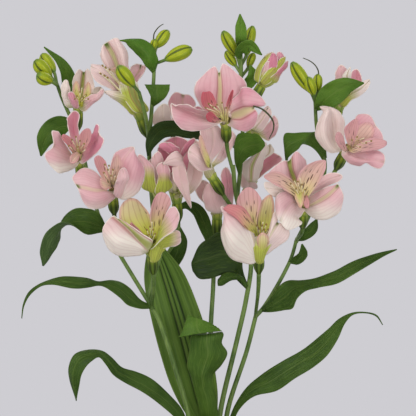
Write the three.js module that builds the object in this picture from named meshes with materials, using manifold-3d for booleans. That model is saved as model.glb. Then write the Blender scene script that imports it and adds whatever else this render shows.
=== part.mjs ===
// A Peruvian lily in a clay pot: five stems, their blooms, buds and leaves.
// Millimetres, +Z up. The origin is the middle of the pot's underside.
// The plant is seen from -Y, and its places are read on that front view.

import * as THREE from "three";
import { mergeVertices } from "three/addons/utils/BufferGeometryUtils.js";
import Module from "manifold-3d";

const wasm = await Module();
wasm.setup();

// Pot and soil
const POT_HEIGHT = 120;
const POT_FOOT_RADIUS = 50;
const POT_RIM_RADIUS = 70;
const POT_WALL = 6;
const POT_FLOOR = 8;
const COLLAR_HEIGHT = 24;
const COLLAR_STEP = 3;
const RIM_ROUNDING = 1.5;
const POT_SIDES = 20;
const DRAIN_COUNT = 4;
const DRAIN_RADIUS = 5;
const DRAIN_CIRCLE = 27;
const DRAIN_SIDES = 8;
const SOIL_LEVEL = 110;
const SOIL_LUMP = 1.2;
const ROOT_DEPTH = 35;

// The gap between pieces that touch
const SEAT = 0.35;

// The front view: how it is read, and one of its squares in the plane of the stems
const VIEW_SQUARE = 0.65;
const VIEW_MIDDLE = 208;
const EYE_DISTANCE = 1200;
const EYE_HEIGHT = 270;

// Stems, ovaries and buds. A taper is the spacing of its rings, then its first and last radius.
const RAY_RADIUS = 1.25;
const STEM_SIDES = 6;
const MAIN_TAPER = [38, 1.9, 1.5];
const SHOOT_TAPER = [26, 1.55, 1.25];
const FRAME_STEPS = 40;
const OVARY_RADIUS = 3.6;
const OVARY_LENGTH = 12;

// Blooms and leaves
const TEPAL_THICKNESS = 0.7;
const OUTER_HALF_WIDTH = 15;
const INNER_HALF_WIDTH = 6.5;
const CUP_RADIUS = 3.6;
const CUP_LENGTH = 3.5;
const CLAW_START = 1.4;
const BUNDLE_RADIUS = 0.6;
const ANTHER_RADIUS = 1.6;
const LEAF_THICKNESS = 0.8;
const LEAF_WAVE = 1.2;

// The run of a tepal, as shares of its length: its rise beside the tube, the last stretch before
// its tip, and how soon it is turned and folded in full. Angles of wrap and bend are in radians.
const CLAW_RISE = 0.38;
const TIP_RUN = 0.3;
const TIP_LEAN = 0.9;
const TURN_PACE = 1.6;
const MOST_WRAP = 1.3;
const LEAF_BEND = 0.25;
const LEAF_FOLD = 0.1;
const LEAST_BEND = 0.02;

const UP = new THREE.Vector3(0, 0, 1);
const AWAY = new THREE.Vector3(0, 1, 0);

// A place on the front view, by squares across and down and by its depth behind the stems' plane.
function at([across, down, depth = 0]) {
  const square = VIEW_SQUARE * (1 + depth / EYE_DISTANCE);
  const x = (across - VIEW_MIDDLE) * square;
  const z = EYE_HEIGHT + (VIEW_MIDDLE - down) * square;
  return new THREE.Vector3(x, depth, z);
}

function mix(from, to, share) {
  return from + (to - from) * share;
}

// The value at a share of the way along a list of evenly spaced values.
function along(values, share) {
  const place = share * (values.length - 1);
  const left = Math.min(Math.floor(place), values.length - 2);
  return mix(values[left], values[left + 1], place - left);
}

function radians(degrees) {
  return THREE.MathUtils.degToRad(degrees);
}

// A closed skin through rings of points, each ring with the same even count, capped at both ends.
// A blade's ring runs out along its upper face and back along its lower face, and both faces
// are split along the same diagonals, so that a waved blade doesn't cross itself.
function skin(rings, blade = false) {
  const count = rings[0].length;
  const last = (rings.length - 1) * count;
  const triangles = [];
  for (let row = 0; row + 1 < rings.length; row++) {
    for (let column = 0; column < count; column++) {
      const here = row * count + column;
      const next = row * count + ((column + 1) % count);
      if (blade && column >= count / 2) {
        triangles.push(here, next, next + count, here, next + count, here + count);
      } else {
        triangles.push(here, next, here + count, next, next + count, here + count);
      }
    }
  }
  for (let column = 0; column + 1 < count / 2; column++) {
    const near = [column, column + 1, count - 2 - column, count - 1 - column];
    const [a, b, c, d] = near;
    triangles.push(c, b, a, d, c, a);
    triangles.push(last + a, last + b, last + c, last + a, last + c, last + d);
  }
  const geometry = new THREE.BufferGeometry().setFromPoints(rings.flat());
  geometry.setIndex(triangles);
  return geometry;
}

function solidOf(geometry) {
  const bare = geometry.clone();
  bare.deleteAttribute("normal");
  bare.deleteAttribute("uv");
  const merged = mergeVertices(bare, 1e-4);
  const vertProperties = new Float32Array(merged.getAttribute("position").array);
  const triVerts = new Uint32Array(merged.getIndex().array);
  const solid = new wasm.Manifold(new wasm.Mesh({ numProp: 3, vertProperties, triVerts }));
  if (solid.volume() > 0) return solid;
  return new wasm.Manifold(new wasm.Mesh({ numProp: 3, vertProperties, triVerts: triVerts.reverse() }));
}

// Several solids as one body. A loose scrap is dropped.
function fused(solids) {
  const whole = solids.reduce((sum, solid) => sum.add(solid));
  const bodies = whole.decompose().sort((a, b) => b.volume() - a.volume());
  return bodies[0];
}

function geometryOf(solid) {
  const { vertProperties, triVerts } = solid.getMesh();
  const geometry = new THREE.BufferGeometry();
  geometry.setAttribute("position", new THREE.BufferAttribute(vertProperties, 3));
  geometry.setIndex(new THREE.BufferAttribute(triVerts, 1));
  return geometry;
}

function finish(color, roughness) {
  return new THREE.MeshStandardMaterial({ color, roughness, metalness: 0 });
}

const clay = finish(0xb5694a, 0.9);
const earth = finish(0x3a2a20, 1);
const greenStem = finish(0x5f8a3c, 0.6);
const greenLeaf = finish(0x2f6a34, 0.55);
const pinkTepal = finish(0xe9aeb6, 0.6);

const plant = new THREE.Group();

function place(name, solid, material) {
  const mesh = new THREE.Mesh(geometryOf(solid), material);
  mesh.name = name;
  plant.add(mesh);
}

// A round rod along a curve, from stations that each give a share of its length and the radius there.
function rod(curve, stations, sides = STEM_SIDES, ridge = 0) {
  const frames = curve.computeFrenetFrames(FRAME_STEPS, false);
  const rings = stations.map(([share, radius]) => {
    const centre = curve.getPointAt(share);
    const frame = Math.round(share * FRAME_STEPS);
    return Array.from({ length: sides }, (_, corner) => {
      const turn = (corner / sides) * 2 * Math.PI;
      const reach = radius * (1 + ridge * Math.cos(3 * turn));
      const point = centre.clone().addScaledVector(frames.normals[frame], reach * Math.cos(turn));
      return point.addScaledVector(frames.binormals[frame], reach * Math.sin(turn));
    });
  });
  return solidOf(skin(rings));
}

// Even stations along a line, with the radius drawn in from one end to the other.
function tapered(line, spacing, from, to) {
  const steps = Math.max(1, Math.round(line.getLength() / spacing));
  return Array.from({ length: steps + 1 }, (_, row) => [row / steps, mix(from, to, row / steps)]);
}

function smooth(points) {
  return new THREE.CatmullRomCurve3(points, false, "centripetal");
}

// A thin blade from its cross rows. A row has its centre, the directions across it and out of its
// face, half its width, how far it bends round from its midrib to its edge, and how far its two
// halves are folded up at the midrib, both in radians.
function blade(rows, columns, thickness) {
  const rings = rows.map((row) => {
    const upper = [];
    const lower = [];
    for (let column = 0; column < columns; column++) {
      const across = mix(-1, 1, column / (columns - 1));
      const bend = Math.abs(row.bend) < LEAST_BEND ? LEAST_BEND : row.bend;
      const hand = Math.sign(across);
      const flat = (row.half * Math.sin(bend * across)) / bend;
      const rising = (row.half * (1 - Math.cos(bend * across))) / bend + row.wave(across);
      const reach = flat * Math.cos(row.fold) - hand * rising * Math.sin(row.fold);
      const lift = rising * Math.cos(row.fold) + hand * flat * Math.sin(row.fold);
      const middle = row.centre.clone().addScaledVector(row.side, reach);
      middle.addScaledVector(row.face, lift).addScaledVector(row.ahead, row.lobe(across));
      const tilt = bend * across + hand * row.fold;
      const out = row.face.clone().multiplyScalar(Math.cos(tilt));
      out.addScaledVector(row.side, -Math.sin(tilt));
      const depth = thickness / 2 / (hand === 0 ? Math.cos(row.fold) : 1);
      upper.push(middle.clone().addScaledVector(out, depth));
      lower.unshift(middle.clone().addScaledVector(out, -depth));
    }
    return [...upper, ...lower];
  });
  return solidOf(skin(rings, true));
}

// Outlines of the two kinds of tepal: shares of the length, of half the width there, and how far
// the edges curl up there beyond the round of the flower's tube, in radians.
const OUTER_TEPAL = {
  columns: 5,
  lengths: [0, 0.2, 0.42, 0.64, 0.85, 1],
  widths: [0.13, 0.27, 0.8, 1, 0.95, 0.5],
  curls: [0, 0, -0.1, -0.2, -0.3, -0.2],
  lobe: 2.4,
  half: OUTER_HALF_WIDTH,
  root: 2.4,
  wave: 0.8,
};
const REAR_TEPAL = { ...OUTER_TEPAL, columns: 3, half: 10, widths: [0.16, 0.22, 0.6, 1, 1, 0.55] };
const INNER_TEPAL = {
  columns: 3,
  lengths: [0, 0.28, 0.58, 0.82, 1],
  widths: [0.16, 0.26, 0.8, 1, 0.1],
  curls: [0, 0, 0.1, 0.2, 0.1],
  lobe: 0,
  half: INNER_HALF_WIDTH,
  root: 1.1,
  wave: 0.3,
};

// The midrib of a tepal rises with the flower's tube, then leans out to the tip.
function midribOf(kind, base, rise, face, tip, arch = 0) {
  const reach = tip.clone().sub(base);
  const length = reach.length();
  const outward = reach.clone().addScaledVector(face, -reach.dot(face));
  const spread = outward.length() / length;
  outward.normalize();
  const aside = outward.clone().addScaledVector(rise, -outward.dot(rise)).normalize();
  const root = base.clone().addScaledVector(aside, kind.root).addScaledVector(rise, CLAW_START);
  const rising = root.clone().addScaledVector(rise, length * CLAW_RISE + arch);
  const leaning = reach.divideScalar(length).addScaledVector(outward, spread * TIP_LEAN);
  leaning.normalize();
  const leaving = tip.clone().addScaledVector(leaning, -length * TIP_RUN).addScaledVector(rise, arch);
  return { outward, curve: new THREE.CubicBezierCurve3(root, rising, leaving, tip) };
}

// One tepal along its midrib. It wraps the tube's middle line as far as it runs beside it.
// Towards its tip it is turned about its midrib and folded along it, both in degrees.
function tepal(kind, midrib, middles, face, half = kind.half, turn = 0, fold = 0) {
  const across = face.clone().cross(midrib.outward).normalize();
  const phase = midrib.curve.v3.x;
  const rows = kind.lengths.map((share, row) => {
    const centre = midrib.curve.getPoint(share);
    const ahead = midrib.curve.getTangent(share);
    const side = across.clone().addScaledVector(ahead, -across.dot(ahead)).normalize();
    const turned = Math.min(1, share * TURN_PACE);
    side.applyAxisAngle(ahead, radians(turn) * turned);
    const middle = middles(share);
    const beside = middle.tangent.dot(ahead) / Math.max(kind.root, centre.distanceTo(middle.point));
    const width = half * kind.widths[row];
    const blunt = share === 1 ? kind.lobe : 0;
    return {
      centre,
      side,
      ahead,
      face: ahead.clone().cross(side).normalize(),
      half: width,
      bend: THREE.MathUtils.clamp(width * beside, 0, MOST_WRAP) + kind.curls[row],
      fold: radians(fold) * turned,
      wave: (t) => kind.wave * share * Math.abs(t) * Math.sin(9 * share + 2.5 * t + phase),
      lobe: (t) => blunt * (4 * Math.abs(t) * (1 - Math.abs(t)) - 1.4 * t ** 4),
    };
  });
  return blade(rows, kind.columns, TEPAL_THICKNESS);
}

// The tube's middle line: halfway between all its midribs at the same share of their length.
function middleOf(midribs) {
  return (share) => {
    const point = new THREE.Vector3();
    const tangent = new THREE.Vector3();
    for (const { curve } of midribs) {
      point.addScaledVector(curve.getPoint(share), 1 / midribs.length);
      tangent.add(curve.getTangent(share));
    }
    return { point, tangent: tangent.normalize() };
  };
}

// The short cup on the ovary that carries the six claws.
function cup(base, rise) {
  const line = new THREE.LineCurve3(base, base.clone().addScaledVector(rise, CUP_LENGTH));
  return rod(line, [[0, CUP_RADIUS], [1, CUP_RADIUS]]);
}

// The bundle of stamens, which dips along the tube and rises again to its anthers.
function stamens(base, rise, face, long) {
  const middle = base.clone().addScaledVector(rise, long * 0.45).addScaledVector(UP, -1);
  const end = base.clone().addScaledVector(face, long);
  const line = smooth([base.clone().addScaledVector(rise, 1), middle, end]);
  return rod(line, [[0, BUNDLE_RADIUS], [0.5, BUNDLE_RADIUS], [0.85, BUNDLE_RADIUS], [1, ANTHER_RADIUS]], 4);
}

// Blooms. A tepal's row is its tip on the front view, half its width in millimetres, its turn about
// the midrib and its fold along it in degrees, and how far it arches above its way, in millimetres.
const BLOOMS = {
  bloom_crown: {
    base: [226, 128, -18],
    face: [-0.05, -0.88, 0.45],
    outer: [[219, 72, -30, 17, 0, 8], [177, 107, -38, 16, 0, -38], [256, 107, -40, 15.5, 0, -15]],
    inner: [[203, 91, -50, 7.5], [235, 90, -50, 6], [213, 121, -54, 5]],
    stamens: 34,
  },
  bloom_left: {
    base: [80, 166, -10],
    face: [-0.1, -0.85, 0.5],
    outer: [[48, 152, -36, 14, 0, -35], [75, 111, -20, 6], [103, 141, -38, 14, 0, -25]],
    inner: [[54, 129, -40, 4], [97, 121, -38, 4], [76, 158, -48, 4]],
    stamens: 30,
  },
  bloom_left_middle: {
    base: [113, 199, -26],
    face: [-0.05, -0.8, 0.6],
    outer: [[76, 188, -48, 15, 0, -32], [137, 154, -42, 15.5, 0, -20], [127, 179, -62, 5]],
    inner: [[93, 158, -54, 5], [117, 157, -58, 5.5]],
    stamens: 30,
  },
  bloom_lower_left: {
    base: [152, 257, -34],
    face: [-0.1, -0.75, 0.65],
    rise: [-0.05, -0.4, 0.9],
    outer: [[106, 221, -52, 15.5, 0, -40], [136, 208, -38, 9], [175, 222, -54, 12.5, 0, -35]],
    inner: [[127, 200, -58, 7.5], [166, 199, -60, 8.5], [134, 226, -68, 4.5]],
    stamens: 30,
  },
  bloom_lower_middle: {
    base: [259, 256, -34],
    face: [0, -0.75, 0.66],
    rise: [0, -0.35, 0.94],
    outer: [[225, 214, -56, 15.5, 0, -44], [257, 197, -36, 9], [286, 227, -44, 12, 0, -30]],
    inner: [[243, 189, -54, 7], [271, 199, -46, 6.5], [266, 236, -66, 4.5]],
    stamens: 30,
  },
  bloom_right_middle: {
    base: [303, 214, -24],
    face: [0, -0.85, 0.5],
    outer: [[290, 161, -34, 11], [338, 186, -52, 15, 0, -15], [278, 212, -62, 11.5, 0, -15]],
    inner: [[265, 177, -48, 6.5], [325, 162, -50, 7.5], [306, 200, -58, 4]],
    stamens: 30,
  },
  bloom_right: {
    base: [343, 156, -6],
    face: [0.45, -0.75, 0.45],
    outer: [[322, 111, -20, 14], [369, 123, -14, 13], [378, 164, -34, 12, 0, -20]],
    inner: [[355, 121, -34, 6.5], [387, 143, -34, 7]],
    stamens: 30,
  },
  bloom_centre: {
    base: [214, 180, -8],
    face: [-0.3, -0.6, 0.75],
    rise: [-0.5, -0.35, 0.8],
    outer: [[187, 141, -26, 12.5, 0, -40], [216, 137, 0, 9.5, 0, 20]],
    inner: [[204, 134, -30, 5]],
  },
  bloom_back_left: {
    base: [176, 134, 22],
    face: [0, 0.15, 1],
    behind: true,
    outer: [[153, 108, 20, 11], [178, 92, 36, 11.5], [197, 100, 22, 10]],
    inner: [],
  },
  bloom_nodding: {
    base: [177, 204, 6],
    face: [-0.1, -0.2, 1],
    behind: true,
    outer: [[162, 148, -6, 10], [184, 138, 2, 10.5], [192, 206, -14, 7.5, 0, 0, 26]],
    inner: [],
  },
  bloom_inner: {
    base: [217, 220, 10],
    face: [0, -0.1, 1],
    behind: true,
    outer: [[204, 188, 3, 7.5], [229, 172, 14, 7], [196, 182, 22, 6]],
    inner: [],
  },
  bloom_back_right: {
    base: [248, 189, 24],
    face: [0.45, -0.1, 0.86],
    behind: true,
    outer: [[247, 158, 22, 9], [268, 145, 40, 9], [283, 158, 14, 10]],
    inner: [],
  },
  bloom_back_top: {
    base: [250, 138, 16],
    face: [0.4, 0, 0.9],
    behind: true,
    outer: [[261, 107, 8, 7.5], [271, 105, 28, 8.5], [279, 122, 10, 9]],
    inner: [],
  },
  bloom_far_left: {
    base: [78, 113, 0],
    face: [0.1, -0.2, 1],
    behind: true,
    outer: [[68, 97, -16, 8], [83, 70, 12, 10], [104, 89, -12, 10]],
    inner: [[66, 82, -4, 6]],
  },
  bloom_top_left: {
    base: [141, 120, 2],
    face: [-0.5, -0.3, 0.8],
    behind: true,
    outer: [[114, 40, 8, 11.5], [91, 64, -18, 10], [105, 92, -14, 8], [146, 66, 20, 8]],
    inner: [[127, 53, -12, 6]],
  },
  bloom_top_right: {
    base: [338, 111, 14],
    face: [0.4, 0, 0.9],
    behind: true,
    outer: [[344, 65, 4, 8.5], [371, 83, 4, 8.5], [359, 70, 28, 9]],
    inner: [],
  },
  bloom_inner_left: {
    base: [160, 202, -4],
    face: [-0.2, -0.3, 0.95],
    behind: true,
    outer: [[143, 160, -14, 7.5], [167, 161, -18, 7], [154, 158, -1, 8]],
    inner: [],
  },
};

function direction(list) {
  return new THREE.Vector3(...list).normalize();
}

for (const bloom of Object.values(BLOOMS)) {
  bloom.foot = at(bloom.base);
  bloom.front = direction(bloom.face);
  bloom.up = bloom.rise
    ? direction(bloom.rise)
    : bloom.front.clone().addScaledVector(UP, 0.5).normalize();
}

function bloomSolid({ outer, inner, behind, foot, front, up, stamens: long }) {
  const tepals = [
    ...outer.map((row) => [behind ? REAR_TEPAL : OUTER_TEPAL, ...row]),
    ...inner.map((row) => [INNER_TEPAL, ...row]),
  ];
  const midribs = tepals.map(([kind, across, down, depth, , , , arch]) =>
    midribOf(kind, foot, up, front, at([across, down, depth]), arch),
  );
  const middles = middleOf(midribs.slice(0, outer.length));
  const pieces = tepals.map(([kind, , , , half, turn, fold], place) =>
    tepal(kind, midribs[place], middles, front, half, turn, fold),
  );
  pieces.push(cup(foot, up));
  if (long) pieces.push(stamens(foot, up, front, long));
  return fused(pieces);
}

for (const [name, bloom] of Object.entries(BLOOMS)) {
  place(name, bloomSolid(bloom), pinkTepal);
}

// A bloom about to open: three outer tepals still wrapped round, with the inner tips showing.
const OPENING_BUD = { foot: at([261, 87, 3]), tip: at([279, 57, 3]), radius: 7.6 };
OPENING_BUD.up = OPENING_BUD.tip.clone().sub(OPENING_BUD.foot).normalize();

function openingBudSolid({ foot, tip, radius }) {
  const swelling = [[0, 0.35], [0.22, 0.75], [0.5, 1], [0.8, 0.92], [1, 0.55]];
  const stations = swelling.map(([share, size]) => [share, size * radius]);
  const body = rod(new THREE.LineCurve3(foot, tip), stations, 6, 0.12);
  const tips = [[285, 53, -1], [276, 51, 6], [288, 60, 8]].map((spot) => {
    const line = new THREE.LineCurve3(foot.clone().lerp(tip, 0.7), at(spot));
    return rod(line, [[0, radius * 0.5], [0.55, radius * 0.42], [1, 0.5]], 4);
  });
  return fused([body, ...tips]);
}

place("bud_opening", openingBudSolid(OPENING_BUD), pinkTepal);

// Stems. Each has its foot in the soil, given across and away in millimetres, its main line on
// the front view, the side shoots that leave it, and the blooms and buds that it carries.
const STEMS = {
  stem_1: {
    foot: [-11, -4],
    line: [[188, 414, -5], [178, 377, -5], [158, 318, -5], [153, 309, -5]],
    shoots: [
      [[153, 309, -5], [120, 255, -6], [103, 225, -5], [97, 210, 0], [87, 172, 4]],
      [[87, 172, 4], [82, 150, 8], [74, 125, 6], [70, 116, 3], [62, 98, -2], [57, 84, -4]],
      [[117, 250, -6], [117, 232, -12]],
    ],
    blooms: {
      bloom_left: [88, 178, 4],
      bloom_far_left: [73, 122, 5],
      bloom_left_middle: [117, 246, -7],
      bloom_lower_left: [154, 306, -5],
      bloom_inner_left: [154, 298, -5],
    },
    buds: [
      [[57, 84, -4], [54, 72, -1], [42, 54, 3], 4.4],
      [[57, 84, -4], [51, 77, -5], [35, 60, -7], 4.8],
      [[58, 86, -4], [52, 82, -9], [37, 75, -15], 4.4],
    ],
  },
  stem_2: {
    foot: [-6, 12],
    line: [[198, 400, 18], [185, 340, 26], [168, 280, 26], [156, 230, 20], [150, 175, 12], [149, 140, 4]],
    shoots: [
      [[149, 142, 4], [152, 105, 0], [154, 72, -1], [154, 58, -2]],
      [[149, 140, 4], [146, 118, -14], [139, 92, -24]],
    ],
    blooms: { bloom_top_left: [148, 150, 6], bloom_back_left: [152, 190, 14], bloom_nodding: [163, 262, 24] },
    buds: [
      [[154, 60, -2], [156, 48, -1], [169, 31, 2], 3.8],
      [[154, 64, -2], [160, 59, -4], [191, 48, -6], 4.2],
      [[154, 60, -2], [153, 50, -4], [155, 39, -6], 2.4],
      [[139, 92, -24], [134, 86, -26], [118, 66, -30], 4.6],
    ],
  },
  stem_3: {
    foot: [0.5, 4],
    line: [[209, 414, 3], [211, 323, 4], [213, 290, 5], [214, 262, 7], [214, 248, 8]],
    shoots: [],
    blooms: { bloom_inner: [214, 250, 8] },
    buds: [],
  },
  stem_4: {
    foot: [6, -3],
    line: [
      [220, 414, -1],
      [237, 340, 0],
      [246, 300, 1],
      [251, 262, 2],
      [244, 225, 2],
      [236, 195, 0],
      [233, 165, -2],
    ],
    shoots: [
      [[237, 200, 0], [241, 160, 10], [243, 110, 12], [241, 78, 10]],
      [[241, 80, 10], [241, 60, 8], [240, 44, 6]],
    ],
    blooms: {
      bloom_crown: [233, 176, -2],
      bloom_centre: [240, 220, 1],
      bloom_back_right: [240, 208, 1],
      bloom_back_top: [242, 150, 11],
      bud_opening: [243, 118, 12],
    },
    buds: [
      [[241, 70, 9], [237, 56, 8], [223, 31, 4], 4],
      [[241, 66, 9], [246, 56, 10], [253, 26, 12], 3.8],
      [[241, 74, 9], [236, 66, 12], [226, 51, 14], 3.2],
      [[242, 76, 10], [248, 68, 12], [254, 53, 15], 2.8],
    ],
  },
  stem_5: {
    foot: [11.5, 3],
    line: [[227, 414, 2], [247, 350, 1], [256, 315, 0]],
    shoots: [
      [[256, 316, 0], [264, 307, 0], [290, 261, 0], [297, 238, 0]],
      [[296, 242, 0], [306, 222, 8], [320, 190, 10], [325, 165, 6], [317, 130, 4], [315, 100, 2]],
    ],
    blooms: {
      bloom_lower_middle: [256, 317, 0],
      bloom_right_middle: [296, 240, 0],
      bloom_right: [322, 185, 10],
      bloom_top_right: [318, 135, 5],
    },
    buds: [
      [[315, 102, 2], [311, 92, 0], [292, 62, -3], 4.4],
      [[315, 102, 2], [314, 95, -1], [308, 77, -5], 3.8],
      [[315, 100, 2], [318, 92, 4], [318, 74, 6], 3.2],
    ],
  },
};

// The lines of a stem: its main one, from its root to its last fork, and its side shoots.
function stemLines({ foot: [x, y], line, shoots }) {
  const root = new THREE.Vector3(x, y, SOIL_LEVEL - ROOT_DEPTH);
  const main = smooth([root, new THREE.Vector3(x, y, SOIL_LEVEL), ...line.map(at)]);
  return [main, ...shoots.map((shoot) => smooth(shoot.map(at)))];
}

// Their rods, grown by some millimetres where they cut a leaf or their hole in the soil.
function stemRods(stem, extra = 0) {
  return stemLines(stem).map((line, place) => {
    const [step, from, to] = place === 0 ? MAIN_TAPER : SHOOT_TAPER;
    return rod(line, tapered(line, step, from + extra, to + extra));
  });
}

// The point of a stem's lines that is nearest to a place.
function onStem(stem, spot) {
  const points = stemLines(stem).flatMap((line) => line.getSpacedPoints(100));
  return points.reduce((best, point) => (point.distanceTo(spot) < best.distanceTo(spot) ? point : best));
}

// The stalk of one bloom, which swells to its ovary just under the bloom's cup.
function stalk(bloom, start, extra = 0) {
  const top = bloom.foot.clone().addScaledVector(bloom.up, -SEAT);
  const bottom = top.clone().addScaledVector(bloom.up, -OVARY_LENGTH);
  const bow = start.distanceTo(bottom) * 0.4;
  const line = new THREE.CurvePath();
  const rising = start.clone().lerp(bottom, 0.35);
  const arriving = bottom.clone().addScaledVector(bloom.up, -bow);
  line.add(new THREE.CubicBezierCurve3(start, rising, arriving, bottom));
  line.add(new THREE.LineCurve3(bottom, top));
  const neck = 1 - OVARY_LENGTH / line.getLength();
  const swelling = [
    [0, RAY_RADIUS],
    [neck * 0.5, RAY_RADIUS],
    [neck, RAY_RADIUS * 1.2],
    [mix(neck, 1, 0.35), OVARY_RADIUS],
    [1, OVARY_RADIUS * 0.85],
  ];
  return rod(line, swelling.map(([share, radius]) => [share, radius + extra]));
}

// A closed bud on its short stalk: three ridges, widest below the middle, and a pointed tip.
function bud([fork, start, tip, radius]) {
  const line = smooth([at(fork), at(start), at(start).lerp(at(tip), 0.5), at(tip)]);
  const neck = at(fork).distanceTo(at(start)) / line.getLength();
  const swelling = [[0.02, 0.35], [0.22, 0.9], [0.52, 1], [0.82, 0.75], [1, 0.25]];
  const stations = swelling.map(([share, size]) => [mix(neck, 1, share), size * radius]);
  return rod(line, [[0, RAY_RADIUS * 0.8], ...stations], STEM_SIDES, 0.14);
}

function stalks(stem, extra = 0) {
  return Object.entries(stem.blooms).map(([bloom, fork]) =>
    stalk(BLOOMS[bloom] ?? OPENING_BUD, onStem(stem, at(fork)), extra),
  );
}

for (const [name, stem] of Object.entries(STEMS)) {
  place(name, fused([...stemRods(stem), ...stalks(stem), ...stem.buds.map(bud)]), greenStem);
}

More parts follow.
